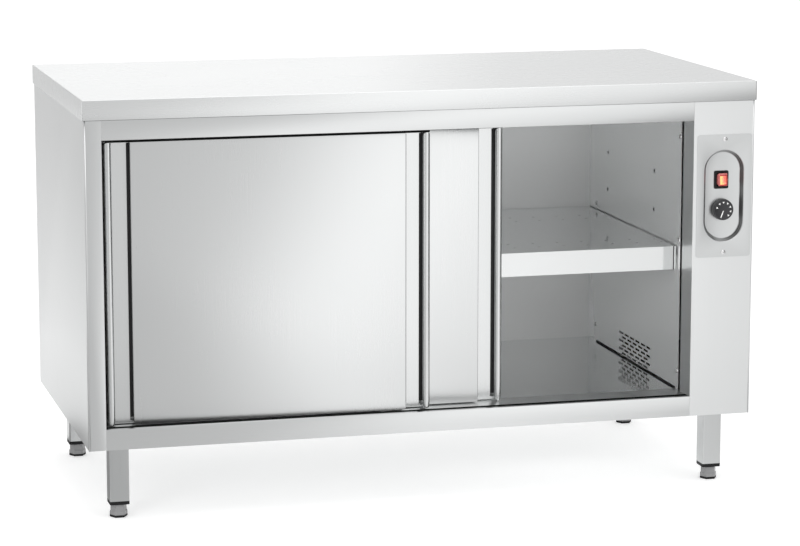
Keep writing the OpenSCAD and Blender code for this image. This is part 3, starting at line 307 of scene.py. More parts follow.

# Folded corners. The front frame is folded back round its left and right edges
# with a small radius, and a thin dark strip under the worktop stands for the
# joint and for the shadow under the worktop's edge: partly a real joint, partly
# painted shadow.

fold_r = 0.003
fold_proud = 0.0002
fold_side_proud = 0.0006
joint_h = 0.0009
joint_proud = 0.0003
stile_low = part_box("left_stile")[0]
column_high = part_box("control_column")[1]
worktop_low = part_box("worktop")[0]
folds = bmesh.new()
for x in (stile_low.x + fold_r - fold_side_proud, column_high.x - fold_r + fold_side_proud):
    bmesh.ops.create_cone(folds, cap_ends=True, segments=32, radius1=fold_r, radius2=fold_r,
                          depth=worktop_low.z - base_low.z,
                          matrix=Matrix.Translation((x, stile_low.y + fold_r - fold_proud,
                                                     (worktop_low.z + base_low.z) / 2)))
new_piece("corner_folds", folds, upright_steel, "cabinet")
joint = bmesh.new()
bmesh.ops.create_cube(joint, size=1.0)
bmesh.ops.scale(joint, verts=joint.verts,
                vec=(column_high.x - stile_low.x + 2 * joint_proud,
                     casing_high.y - stile_low.y + 2 * joint_proud, joint_h))
bmesh.ops.translate(joint, verts=joint.verts,
                    vec=((column_high.x + stile_low.x) / 2, (casing_high.y + stile_low.y) / 2,
                         worktop_low.z - joint_h / 2))
level_faces = [face for face in joint.faces if abs(face.normal.z) > 0.5]
bmesh.ops.delete(joint, geom=level_faces, context="FACES_ONLY")
# Partly a real joint, partly painted shadow: a near-black strip for the dark line under the
# worktop's edge.
joint_and_shadow_dark = Material("dark_joint_and_shadow", (0.05, 0.05, 0.05), 0.8)
joint_and_shadow_dark.tint(joint_and_shadow_dark.noise(joint_and_shadow_dark.place(), 300.0), 0.6)
new_piece("worktop_joint_and_shadow", joint, joint_and_shadow_dark, "cabinet", smooth=False)

# Insulation. Slabs of pressed mineral wool fill the casing left, above, behind
# and under the chamber. They are cut dry with a knife, and are mustard brown
# with a loose fibrous surface.

wool = Material("mineral_wool", (0.56, 0.47, 0.26), 0.95, Sheen_Weight=0.3)
fibres = wool.noise(wool.place((300, 300, 900)), 1.0, 6.0)
wool.tint(fibres, 0.55)
wool.vary("Normal", wool.bump(fibres, 0.002))
dress("insulation", wool, 0)

# Chamber lining. Side walls, floor and ceiling of the chamber are bright rolled
# stainless, nearly as clear as a mirror and a little wavy, and the back wall is
# a duller sheet. Warm air comes through the slots low in the right wall.


def bright_sheet(name, colour, roughness, grain, metallic):
    """Stainless that reflects like a dull mirror, a little wavy, as thin sheet is."""
    along_grain, across_grain = 3.0, 500.0
    wave_depth = 0.000012
    steel = Material(name, colour, roughness, metallic)
    stretch = [along_grain if axis == grain else across_grain for axis in "xyz"]
    lines = steel.noise(steel.place(stretch), 1.0, 3.0)
    wave = steel.noise(steel.place(), 3.5, 1.0)
    steel.vary("Roughness", roughness + (lines - 0.5) * 0.02 + (wave - 0.5) * 0.02)
    steel.tint(wave, 0.97)
    steel.vary("Normal", steel.bump(wave * 0.97 + lines * 0.03, wave_depth))
    return steel


lining = bright_sheet("bright_lining", (0.86, 0.87, 0.87), 0.09, "y", 0.68)
floor_lining = bright_sheet("bright_floor_lining", (0.68, 0.69, 0.69), 0.09, "y", 0.97)
back_lining = bright_sheet("bright_back_lining", (0.70, 0.71, 0.71), 0.46, "x", 0.5)
dress("left_inner_wall", lining, 0)
dress("right_inner_wall", lining, 0)
dress("inner_floor", floor_lining, 0)
dress("inner_ceiling", lining, 0)
dress("back_inner_wall", back_lining, 0)

# Shelf supports. Each is a bright turned pin with a flat tab, and goes into one
# of the flanged sockets pressed in the chamber walls at three heights. They are
# what the shelf's folded ends rest on.

turned_steel = Material("turned_steel", (0.74, 0.74, 0.74), 0.22, 1.0)
turned_steel.tint(turned_steel.noise(turned_steel.place((200, 1500, 1500)), 1.0), 0.85)
dress("shelf_supports", turned_steel, 0)
socket_steel = Material("socket_steel", (0.62, 0.62, 0.63), 0.16, 1.0)
socket_steel.tint(socket_steel.noise(socket_steel.place(), 800.0), 0.7)
dress("support_sockets", socket_steel, 0)

# Screws. Small pan-head screws with a cross recess hold the chamber walls, six
# to a wall, and one at each end holds the control plate. The heads are bright
# and stand a little proud.

wall_left, wall_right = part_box("left_inner_wall")[1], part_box("right_inner_wall")[0]
plate_low, plate_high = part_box("control_plate")
head_r = 0.005
head_h = 0.0022
shank_r = 0.002
shank_l = 0.007
head_levels = ((1.0, 0.35), (0.93, 0.62), (0.80, 0.84), (0.62, 0.96))


def screw(mesh, place):
    """A pan-head screw that points into -Z, its head standing from Z 0."""
    others = set(mesh.verts)
    ring = bmesh.ops.create_circle(mesh, cap_ends=False, segments=24, radius=head_r)["verts"]
    rim = [e for e in mesh.edges if e.verts[0] in ring and e.verts[1] in ring]
    for radius, height in head_levels:
        grown = bmesh.ops.extrude_edge_only(mesh, edges=rim)["geom"]
        ring = [g for g in grown if isinstance(g, bmesh.types.BMVert)]
        rim = [g for g in grown if isinstance(g, bmesh.types.BMEdge)
               and g.verts[0] in ring and g.verts[1] in ring]
        for v in ring:
            flat = v.co.xy.normalized() * head_r * radius
            v.co = (flat.x, flat.y, head_h * height)
    arm, slot = head_r * 0.46, head_r * 0.12
    pit_z = head_h * 0.2
    corners = [(arm, slot), (slot, slot), (slot, arm), (-slot, arm), (-slot, slot), (-arm, slot),
               (-arm, -slot), (-slot, -slot), (-slot, -arm), (slot, -arm), (slot, -slot),
               (arm, -slot)]
    cross = [mesh.verts.new((x, y, head_h)) for x, y in corners]
    mouth = [mesh.edges.new((a, b)) for a, b in zip(cross, cross[1:] + cross[:1])]
    bmesh.ops.bridge_loops(mesh, edges=rim + mouth)
    pit = bmesh.ops.extrude_edge_only(mesh, edges=mouth)["geom"]
    floor = [g for g in pit if isinstance(g, bmesh.types.BMVert)]
    for v in floor:
        v.co = (v.co.x * 0.6, v.co.y * 0.6, pit_z)
    bottom = [g for g in pit if isinstance(g, bmesh.types.BMEdge)
              and g.verts[0] in floor and g.verts[1] in floor]
    bmesh.ops.contextual_create(mesh, geom=bottom)
    bmesh.ops.create_cone(mesh, cap_ends=True, segments=16, radius1=shank_r * 0.7,
                          radius2=shank_r, depth=shank_l,
                          matrix=Matrix.Translation((0, 0, -shank_l / 2)))
    bmesh.ops.transform(mesh, matrix=place, verts=[v for v in mesh.verts if v not in others])


facing_right = Matrix.Rotation(math.radians(90), 4, "Y")
facing_left = Matrix.Rotation(math.radians(-90), 4, "Y")
facing_front = Matrix.Rotation(math.radians(90), 4, "X")
wall_front, wall_back = wall_right.y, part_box("right_inner_wall")[1].y
plate_middle = (plate_low + plate_high) / 2
screw_ys = (wall_front + 0.008, wall_back - 0.051)
screw_zs = (0.231, 0.510, 0.7285)
plate_screw_reach = 0.118
screws = bmesh.new()
for i, (y, z) in enumerate((y, z) for y in screw_ys for z in screw_zs):
    spin = Matrix.Rotation(0.4 + 1.1 * i, 4, "Z")
    screw(screws, Matrix.Translation((wall_left.x, y, z)) @ facing_right @ spin)
    screw(screws, Matrix.Translation((wall_right.x, y, z)) @ facing_left @ spin)
for i, z in enumerate((plate_middle.z - plate_screw_reach, plate_middle.z + plate_screw_reach)):
    spin = Matrix.Rotation(0.5 + 0.7 * i, 4, "Z")
    screw(screws, Matrix.Translation((plate_middle.x, plate_low.y, z)) @ facing_front @ spin)
screw_steel = Material("screw_steel", (0.82, 0.82, 0.82), 0.16, 1.0)
screw_steel.tint(screw_steel.noise(screw_steel.place(), 1200.0), 0.9)
screw_heads = soften(new_piece("panel_screw_heads", screws, screw_steel, "cabinet"),
                     0.0001, 2, 40)
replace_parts(screw_heads, "panel_screws")

# Blower and heater. A long drum wheel of bright blades turns in a folded housing
# behind the right wall, driven by a small painted motor. It blows through the
# fins of the heater, which show as bright lines in the slots.

plain_steel = stainless("plain_sheet", (0.52, 0.53, 0.53), 0.42, "y", 0.12)
dress("fan_housing", plain_steel, 0)
fin_steel = Material("fin_steel", (0.50, 0.49, 0.47), 0.20, 1.0)
warmth = fin_steel.noise(fin_steel.place(), 60.0, 3.0)
straw = (0.48, 0.41, 0.30, 1.0)
fin_steel.vary("Base Color", fin_steel.mix(fin_steel.ramp(warmth, 0.45, 0.75),
                                           fin_steel.colour, straw))
dress("heater", fin_steel, 0)
dress("fan_wheel", fin_steel, 0)
motor_paint = Material("motor_paint", (0.035, 0.035, 0.04), 0.42, Coat_Weight=0.2)
orange_peel = motor_paint.noise(motor_paint.place(), 900.0)
motor_paint.vary("Normal", motor_paint.bump(orange_peel, 0.0001))
dress("fan_motor", motor_paint, 0.0015)

# Thermostat, terminals and gland. The thermostat is a plated brass case with a
# thin sensor tube, the terminal block is white nylon, and the supply cable
# leaves through a black nylon gland under the base.

brass = Material("plated_brass", (0.74, 0.60, 0.32), 0.30, 1.0)
brass.tint(brass.noise(brass.place(), 220.0, 4.0), 0.75)
dress("thermostat", brass, 0)
dress("thermostat_spindle", turned_steel)


def moulded(name, colour, roughness, **constants):
    """Moulded plastic with the fine grain of its tool."""
    grain, depth = 2600.0, 0.00006
    plastic = Material(name, colour, roughness, **constants)
    speck = plastic.noise(plastic.place(), grain, 2.0)
    cloud = plastic.noise(plastic.place(), 40.0, 3.0)
    plastic.vary("Roughness", roughness + (cloud - 0.5) * 0.12)
    plastic.tint(cloud, 0.82)
    plastic.vary("Normal", plastic.bump(speck, depth))
    return plastic


nylon = moulded("white_nylon", (0.82, 0.82, 0.79), 0.42)
black_plastic = moulded("black_plastic", (0.010, 0.010, 0.011), 0.55, Specular_IOR_Level=0.25)
dress("terminal_block", nylon, 0)
dress("cable_gland", black_plastic, 0)

# Control plate. One satin plate is screwed over a cut-out in the column, and a
# deep recess with sloping walls and round ends is pressed in it, so that the
# switch and the knob are guarded. The shade on the recess wall is painted into
# the plate's colour: painted shade, darkest at the right.

dish_w = 0.089
dish_h = 0.194
dish_d = 0.012
dish_run = 0.0078
dish_rings = 14
arc_steps = 14
plate_t = 0.001
plate_corner_r = 0.006
corner_steps = 6
switch_hole_w = 0.026
switch_hole_h = 0.033
switch_hole_r = 0.001
wall_top = (0.0012, 0.0035)
wall_foot = (0.0004, 0.0030)
painted_shade_band = (0.0028, 0.0006)
shaded_from, shaded_to = -0.02, 0.03
# Colours of the painted shade on the recess wall: pale at the left, dark at the right.
painted_pale_wall = (0.62, 0.62, 0.62, 1)
painted_dark_wall = (0.14, 0.14, 0.14, 1)
painted_dark_wall_middle = (0.30, 0.30, 0.30, 1)


def outline(half_w, half_h, r, steps):
    """Points of a rectangle with round corners, seen from the front."""
    points = []
    for i, (sx, sz) in enumerate(((1, 1), (-1, 1), (-1, -1), (1, -1))):
        for j in range(steps + 1):
            angle = math.radians(90 * (i + j / steps))
            points.append((sx * (half_w - r) + r * math.cos(angle),
                           sz * (half_h - r) + r * math.sin(angle)))
    return points


def loop(mesh, points, y):
    """A closed loop of edges through points of the control plate, at a depth."""
    ring = [mesh.verts.new((plate_middle.x + x, y, plate_middle.z + z)) for x, z in points]
    return [mesh.edges.new(pair) for pair in zip(ring, ring[1:] + ring[:1])]


plate_steel = stainless("satin_steel_plate", (0.60, 0.61, 0.61), 0.30, "z")
dish_x, dish_y = plate_steel.axes(plate_steel.place())[:2]
dish_floor = plate_low.y + dish_d
# Painted shade: the recess wall is coloured pale at the left and dark at the right, darkest near
# its rim and foot and a little lighter halfway down.
on_wall = (plate_steel.ramp(dish_y, plate_low.y + wall_top[0], plate_low.y + wall_top[1])
           * plate_steel.ramp(dish_y, dish_floor - wall_foot[0], dish_floor - wall_foot[1]))
halfway = plate_steel.ramp(abs(dish_y - (plate_low.y + dish_d / 2)), *painted_shade_band)
shaded_side = plate_steel.ramp(dish_x, plate_middle.x + shaded_from, plate_middle.x + shaded_to)
deep_shade = plate_steel.mix(halfway, painted_dark_wall, painted_dark_wall_middle)
wall_shade = plate_steel.mix(shaded_side, painted_pale_wall, deep_shade)
plate_steel.vary("Base Color", plate_steel.mix(on_wall, plate_steel.colour, wall_shade))
plate_steel.vary("Roughness", plate_steel.roughness + on_wall * 0.15)
plate_half = (plate_high - plate_low) / 2
pressed = bmesh.new()
outer = loop(pressed, outline(plate_half.x, plate_half.z, plate_corner_r, corner_steps),
             plate_low.y)
for i in range(dish_rings + 1):
    t = i / dish_rings
    inset = dish_run * t
    wide = dish_w / 2 - inset
    end_r = wide * 0.9999
    inner = loop(pressed, outline(wide, dish_h / 2 - inset, end_r, arc_steps),
                 plate_low.y + dish_d * (1 - math.cos(math.pi * t)) / 2)
    if i == 0:
        bmesh.ops.triangle_fill(pressed, edges=outer + inner, use_beauty=True)
    else:
        bmesh.ops.bridge_loops(pressed, edges=outer + inner)
    outer = inner
switch_low, switch_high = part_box("switch_housing")
switch_middle = (switch_low + switch_high) / 2 - plate_middle
mouth = [(x + switch_middle.x, z + switch_middle.z)
         for x, z in outline(switch_hole_w / 2, switch_hole_h / 2, switch_hole_r, 2)]
bmesh.ops.triangle_fill(pressed, edges=outer + loop(pressed, mouth, plate_low.y + dish_d),
                        use_beauty=True)
grown = bmesh.ops.extrude_face_region(pressed, geom=pressed.faces[:])["geom"]
bmesh.ops.translate(pressed, vec=(0, plate_t, 0),
                    verts=[g for g in grown if isinstance(g, bmesh.types.BMVert)])
plate_piece = soften(new_piece("pressed_plate", pressed, plate_steel, "cabinet"), 0.0003, 2, 50)
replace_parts(plate_piece, "control_plate")

# Switch. A black housing with a flat rim snaps into the plate, and a red
# see-through rocker is lit from behind by a small neon lamp, which glows yellow
# at the left of a window in its middle. The rocker's paler rim and the pink
# spots in the glow are painted highlights.

dress("switch_housing", black_plastic, 0)
hinge = next(j for j in frame["joints"] if j["name"] == "rocker_tilt")
pivot = Vector(hinge["pos_m"])
rocker_w = 0.0195
rocker_h = 0.027
rocker_front = 0.0148
rocker_back = 0.004
rest_tilt = math.radians(-5)
valley = rocker_h / 2 * math.tan(-rest_tilt)
foot_share = 0.55
on_plane = 1e-4
body = bmesh.new()
bmesh.ops.create_cube(body, size=1.0)
bmesh.ops.scale(body, vec=(rocker_w, rocker_front + rocker_back, rocker_h), verts=body.verts)
bmesh.ops.translate(body, vec=(0, (rocker_back - rocker_front) / 2, 0), verts=body.verts)
bmesh.ops.bisect_plane(body, geom=body.verts[:] + body.edges[:] + body.faces[:], dist=1e-6,
                       plane_co=(0, 0, 0), plane_no=(0, 0, 1))
for v in body.verts:
    if v.co.y < 0:
        v.co.y += valley / 2 if abs(v.co.z) < on_plane else -valley / 2
    elif abs(v.co.z) > on_plane:
        v.co.z *= foot_share
edges = [e for e in body.edges if max(abs(v.co.z) for v in e.verts) >= on_plane]
bmesh.ops.bevel(body, geom=edges, offset=0.0016, segments=4, affect="EDGES", profile=0.5,
                material=-1)
bmesh.ops.transform(body, matrix=Matrix.Translation(pivot) @ Matrix.Rotation(rest_tilt, 4, "X"),
                    verts=body.verts)
red = Material("lit_red_plastic", (0.36, 0.030, 0.026), 0.16, Coat_Weight=0.4,
               Emission_Strength=1.0)
# Painted highlight: a paler red rim all round the rocker's edge, in its base colour.
window_side, window_end = (0.0070, 0.0064), (0.0090, 0.0084)
rim_highlight_side, rim_highlight_end = (0.0078, 0.0084), (0.0110, 0.0118)
lamp_edge = (0.0015, -0.0035)
neon_yellow = (1.0, 0.66, 0.17, 1.0)
lit_red = (0.72, 0.11, 0.085, 1.0)
highlight_red = (1.0, 0.48, 0.42, 1.0)
unlit_red = (0.035, 0.002, 0.002, 1.0)
rim_highlight_red = (0.50, 0.14, 0.13, 1.0)
window_red = (0.45, 0.10, 0.06, 1.0)
sideways, _, upwards = red.axes(red.place((1, 1, 1), pivot))
side = abs(sideways)
rise = abs(upwards)
inside = red.ramp(side, *window_side) * red.ramp(rise, *window_end)
rim_highlight = red.ramp(side, *rim_highlight_side) + red.ramp(rise, *rim_highlight_end)
glow = red.noise(red.place((1, 1, 0.7), pivot), 260.0, 1.0)
lamp_side = red.ramp(sideways + (glow - 0.5) * 0.014, *lamp_edge)
# Painted highlight: pink spots in the window's glow.
shine = red.ramp(red.noise(red.place((1, 1, 1), pivot), 420.0, 1.0), 0.56, 0.68)
hot = red.mix(lamp_side, lit_red, neon_yellow)
lens = red.mix(shine * 0.5, hot, highlight_red)
red.vary("Emission Color", red.mix(inside, unlit_red, lens))
# Base colour around the window, with the painted highlight rim.
around_window = red.mix(rim_highlight.least(1.0), red.colour, rim_highlight_red)
red.vary("Base Color", red.mix(inside, around_window, window_red))
rocker = new_piece("rocker_cap", body, red, "rocker")
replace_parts(rocker, "switch_rocker")

# Knob. A round black knob is pushed on the thermostat's spindle. Its edge is
# slightly rounded, and small white marks for the heat steps and one pointer line
# are printed on its face.

knob_low, knob_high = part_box("thermostat_knob")
knob_joint = next(j for j in frame["joints"] if j["name"] == "knob_turn")
knob_x, knob_z = knob_joint["pos_m"][0], knob_joint["pos_m"][2]
knob_h = knob_high.y - knob_low.y
on_knob = Matrix.Translation((knob_x, knob_high.y, knob_z)) @ facing_front
knob_r = (knob_high.x - knob_low.x) / 2 - 0.0006
face_z = knob_h - 0.0005
knob_profile = [(0, 0), (knob_r - 0.002, 0), (knob_r - 0.0004, 0.0002), (knob_r, 0.0010),
                (knob_r - 0.0003, knob_h * 0.5), (knob_r - 0.0007, knob_h - 0.0022),
                (knob_r - 0.0010, knob_h - 0.0011), (knob_r - 0.0015, knob_h - 0.0004),
                (knob_r - 0.0021, knob_h - 0.0001), (knob_r - 0.0026, knob_h),
                (knob_r - 0.0031, knob_h - 0.0001), (knob_r - 0.0037, face_z), (0, face_z)]
knob_mesh = bmesh.new()
lathe(knob_mesh, knob_profile, 96, on_knob)
knob_plastic = moulded("knob_plastic", (0.022, 0.022, 0.024), 0.38)
knob = new_piece("knob_body", knob_mesh, knob_plastic, "knob")
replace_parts(knob, "thermostat_knob")

mark_r = 0.0155
mark_angles = (-72, -36, -2, 33, 68, 103, 139)
pointer_angle = 201
print_t = 0.00012
mark_size = 0.0027
pointer_w, pointer_l, pointer_middle = 0.0021, 0.0155, 0.0098
marks = bmesh.new()
print_z = face_z + print_t / 2
for angle in mark_angles:
    turn = Matrix.Rotation(math.radians(-angle), 4, "Z")
    made = bmesh.ops.create_cone(marks, cap_ends=True, segments=3, radius1=mark_size,
                                 radius2=mark_size, depth=print_t)["verts"]
    place = Matrix.Translation((0, mark_r, print_z)) @ Matrix.Rotation(math.pi, 4, "Z")
    bmesh.ops.transform(marks, matrix=on_knob @ turn @ place, verts=made)
turn = Matrix.Rotation(math.radians(-pointer_angle), 4, "Z")
line = bmesh.ops.create_cube(marks, size=1.0)["verts"]
bmesh.ops.scale(marks, vec=(pointer_w, pointer_l, print_t), verts=line)
place = Matrix.Translation((0, pointer_middle, print_z))
bmesh.ops.transform(marks, matrix=on_knob @ turn @ place, verts=line)
white_print = Material("white_print", (0.85, 0.85, 0.84), 0.5)
white_print.tint(white_print.noise(white_print.place(), 1500.0), 0.85)
new_piece("knob_marks", marks, white_print, "knob", smooth=False)

# Door track and guide. Two running rails of drawn aluminium hang over the
# doorway, and a white nylon block with two fins on the bottom rail keeps the
# feet of the doors in line.

track_metal = Material("drawn_aluminium", (0.70, 0.71, 0.72), 0.34, 1.0)
die_lines = track_metal.noise(track_metal.place((3, 1500, 1500)), 1.0, 3.0)
track_metal.tint(die_lines, 0.85)
track_metal.vary("Normal", track_metal.bump(die_lines, 0.00003))
dress("door_track", track_metal)
dress("door_guide", nylon, 0.0005)

# Doors. Each door is a tray of satin sheet with a pressed board inside. At both
# ends a finger recess is folded from one strip, with a rounded lip at the door's
# edge, and the board shows as dark lines in the slots beside the recess.

door_steel = stainless("satin_steel_door", (0.72, 0.73, 0.73), 0.28, "z")
grip_steel = stainless("satin_steel_grip", (0.70, 0.71, 0.71), 0.24, "z")
board = Material("pressed_board", (0.020, 0.020, 0.021), 0.85)
felt = board.noise(board.place(), 700.0, 5.0)
board.tint(felt, 0.5)
board.vary("Normal", board.bump(felt, 0.0004))
for door in ("front_door", "rear_door"):
    dress(f"{door}_face", door_steel, 0.001)
    dress(f"{door}_back", door_steel)
    dress(f"{door}_core", board)
    dress(f"{door}_left_grip", grip_steel, 0)
    dress(f"{door}_right_grip", grip_steel, 0)
    dress(f"{door}_hangers", turned_steel, 0)
    dress(f"{door}_left_roller", nylon, 0.0004)
    dress(f"{door}_right_roller", nylon, 0.0004)

# Brush strips. A black strip drawn as a brush on the top of each door fills the
# gap under the top rail, and a thin black strip lies on the bottom rail in front
# of the doors, so that dark lines frame the doors. Both are painted shadow: they
# stand for the shade in these gaps.

brush_h = 0.0036
brush_t = 0.003
brush_inset = 0.002
strip_t = 0.0004
strip_margin = 0.0015
strip_inset = 0.009
# Painted shadow: near-black strips that stand for the shade in the gaps above and below the
# doors.
painted_shadow_black = Material("black_brush_shadow", (0.008, 0.008, 0.008), 0.9, Specular_IOR_Level=0.1)
bristles = painted_shadow_black.noise(painted_shadow_black.place((1500, 1500, 60)), 1.0, 2.0)
painted_shadow_black.tint(bristles, 0.4)


def bar(name, low, high, body):
    """A plain black bar between two corners, riding on a body."""
    mesh = bmesh.new()
    bmesh.ops.create_cube(mesh, size=1.0)
    bmesh.ops.scale(mesh, vec=Vector(high) - Vector(low), verts=mesh.verts)
    bmesh.ops.translate(mesh, vec=(Vector(high) + Vector(low)) / 2, verts=mesh.verts)
    new_piece(name, mesh, painted_shadow_black, body, smooth=False)


for door in ("front_door", "rear_door"):
    low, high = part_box(f"{door}_back")
    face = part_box(f"{door}_face")[0]
    brush_y = face.y + brush_inset / 4
    bar(f"{door}_brush", (low.x + brush_inset, brush_y, high.z),
        (high.x - brush_inset, brush_y + brush_t, high.z + brush_h), door)
rail_low, rail_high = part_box("bottom_rail")
front_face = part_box("front_door_face")[0]
bar("bottom_rail_shadow_strip", (rail_low.x + strip_margin, rail_low.y + strip_inset, rail_high.z),
    (rail_high.x - strip_margin, front_face.y - strip_margin, rail_high.z + strip_t), "cabinet")

# Shelf. A bright sheet is folded down at its front, ends and back, and two hat
# channels are spot-welded under it. Each weld leaves a small round mark on the
# top, so the marks stand in four rows along the shelf.

shelf_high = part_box("shelf")[1]
weld_pitch = 0.054
weld_x = 0.281
weld_rows = (-0.1965, -0.1495, 0.1455, 0.1925)
weld_edge = (0.0040, 0.0028)
top_skin = 0.0004
shelf_steel = bright_sheet("bright_shelf", (0.70, 0.71, 0.71), 0.09, "x", 0.95)
along, back, up = shelf_steel.axes(shelf_steel.place((1, 1, 1), (weld_x, 0, 0)))
nearest_row = abs(back - weld_rows[0])
for row in weld_rows[1:]:
    nearest_row = nearest_row.least(abs(back - row))
column = abs((along + weld_pitch / 2) % weld_pitch - weld_pitch / 2)
from_weld = (column * column + nearest_row * nearest_row) ** 0.5
mark = shelf_steel.ramp(from_weld, *weld_edge) * (up > shelf_high.z - top_skin)
grey_mark = (0.24, 0.24, 0.24, 1.0)
shelf_steel.vary("Base Color", shelf_steel.mix(mark, shelf_steel.colour, grey_mark))
shelf_steel.vary("Roughness", shelf_steel.roughness + mark * 0.25)
dress("shelf", shelf_steel, 0)
dress("shelf_channels", plain_steel)

# Legs and feet. Square satin tubes stand under the casing, closed by black nylon
# plugs. A grey hexagonal foot on a threaded stud screws into each plug, and has
# a black sole with a bevelled edge.

leg_steel = stainless("satin_steel_leg", (0.56, 0.57, 0.57), 0.28, "z")
foot_grey = moulded("grey_plastic", (0.31, 0.31, 0.315), 0.28)
sole_rubber = moulded("black_sole", (0.009, 0.009, 0.010), 0.65, Specular_IOR_Level=0.25)
thread_steel = Material("thread_steel", (0.66, 0.66, 0.66), 0.28, 1.0)
thread_steel.tint(thread_steel.noise(thread_steel.place((400, 400, 60)), 1.0), 0.8)
foot_af = 0.029
foot_flare = 0.003
sole_t = 0.005
sole_edge = 0.0012
sole_taper = 0.003
skirt_top = 0.0125
neck_bottom = 0.0145
body_edge = 0.0015
body_taper = 0.004
body_top = 0.0275
thread_pitch = 0.0015
thread_r = 0.005
thread_root = 0.0042
thread_steps = 20
dress("leg_plugs", black_plastic, 0)


def hexagon(mesh, x, y, levels):
    """A closed hexagonal body through (height, width across flats) levels."""
    half = math.cos(math.radians(30))
    height, width = levels[0]
    base = bmesh.ops.create_circle(mesh, cap_ends=True, segments=6, radius=width / 2 / half,
                                   matrix=Matrix.Rotation(math.radians(90), 4, "Z"))["verts"]
    bmesh.ops.translate(mesh, vec=(x, y, height), verts=base)
    top = list({f for v in base for f in v.link_faces})
    for z, wide in levels[1:]:
        grown = bmesh.ops.extrude_face_region(mesh, geom=top)["geom"]
        ring = [g for g in grown if isinstance(g, bmesh.types.BMVert)]
        bmesh.ops.translate(mesh, vec=(-x, -y, z - height), verts=ring)
        bmesh.ops.scale(mesh, vec=(wide / width, wide / width, 1), verts=ring)
        bmesh.ops.translate(mesh, vec=(x, y, 0), verts=ring)
        top = [g for g in grown if isinstance(g, bmesh.types.BMFace)]
        height, width = z, wide


for corner in ("front_left", "front_right", "back_left", "back_right"):
    dress(f"{corner}_leg", leg_steel, 0)
    foot_low, foot_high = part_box(f"{corner}_foot")
    x = (foot_low.x + foot_high.x) / 2
    y = (foot_low.y + foot_high.y) / 2
    wide = foot_af + foot_flare
    sole = bmesh.new()
    hexagon(sole, x, y, [(0, wide - sole_taper), (sole_edge, wide), (sole_t, wide)])
    sole_piece = new_piece(f"{corner}_sole", sole, sole_rubber, f"{corner}_foot_body", False)
    soften(sole_piece, 0.0006)
    shape = bmesh.new()
    hexagon(shape, x, y, [(sole_t, wide), (skirt_top, wide), (neck_bottom, foot_af),
                          (body_top - body_edge, foot_af), (body_top, foot_af - body_taper)])
    foot_piece = new_piece(f"{corner}_foot_cap", shape, foot_grey, f"{corner}_foot_body", False)
    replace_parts(soften(foot_piece, 0.0008), f"{corner}_foot")
    turns = round((foot_high.z - body_top) / thread_pitch)
    stud = bmesh.new()
    groove = [stud.verts.new((r, 0, z)) for r, z in
              ((thread_root, 0), (thread_r, thread_pitch * 0.4), (thread_r, thread_pitch * 0.6),
               (thread_root, thread_pitch))]
    rib = [stud.edges.new(pair) for pair in zip(groove, groove[1:])]
    bmesh.ops.spin(stud, geom=groove + rib, axis=(0, 0, 1), cent=(0, 0, 0),
                   dvec=(0, 0, thread_pitch / thread_steps), angle=2 * math.pi * (turns - 1),
                   steps=thread_steps * (turns - 1), use_merge=False)
    bmesh.ops.remove_doubles(stud, verts=stud.verts, dist=0.00001)
    bmesh.ops.create_cone(stud, cap_ends=True, segments=20, radius1=thread_root,
                          radius2=thread_root * 0.9, depth=foot_high.z - body_top,
                          matrix=Matrix.Translation((0, 0, (foot_high.z - body_top) / 2)))
    bmesh.ops.translate(stud, vec=(x, y, body_top), verts=stud.verts)
    stud_piece = new_piece(f"{corner}_stud", stud, thread_steel, f"{corner}_foot_body", False)

# Worktop. One sheet of 1.5 mm satin stainless is folded down all round, with
# welded and ground corners, and is stiffened by channels from front to back. Its
# grain runs along its length, and its edges are slightly rounded.

worktop_steel = stainless("satin_steel_worktop", (0.74, 0.75, 0.75), 0.27, "x")
dress("worktop", worktop_steel)
dress("worktop_ribs", plain_steel)

# Studio. The cabinet stands on a pale floor that runs back without an edge. Two
# large soft lamps, a pale surround and three fill lamps light it, two of them
# weak ones for the chamber. Pale and dark cards out of view show in the steel.

scene = bpy.context.scene


def sees_backdrop(made):
    """1 for rays from the camera, and for what is seen in metal and glass."""
    rays = [made.node("ShaderNodeLightPath", {}, {}, ray)
            for ray in ("Is Camera Ray", "Is Glossy Ray", "Is Transmission Ray")]
    return (rays[0] + rays[1] + rays[2]).least(1.0)


floor_paint = Material("pale_floor", (0.86, 0.86, 0.86), 0.9, Emission_Strength=1.0)
seen = sees_backdrop(floor_paint)
floor_paint.vary("Emission Color", floor_paint.mix(seen, (0, 0, 0, 1), (0.40, 0.40, 0.40, 1)))
floor_mesh = bmesh.new()
bmesh.ops.create_grid(floor_mesh, x_segments=8, y_segments=8, size=40.0)
floor_data = bpy.data.meshes.new("floor")
floor_mesh.to_mesh(floor_data)
floor_mesh.free()
floor_data.materials.append(floor_paint.data)
floor = bpy.data.objects.new("floor", floor_data)
scene.collection.objects.link(floor)

world = bpy.data.worlds.new("pale_surround")
scene.world = world
world.use_nodes = True


class Surround(Material):
    """The world's nodes, written in the same way as a material's."""

    def __init__(self, data):
        self.tree = data.node_tree


surround = Surround(world)
backdrop = sees_backdrop(surround)
light = surround.mix(backdrop, (0.85, 0.85, 0.85, 1), (1.0, 1.0, 1.0, 1))
world.node_tree.links.new(light.socket, world.node_tree.nodes["Background"].inputs["Color"])


dark_grey = 0.32
near_black = 0.05


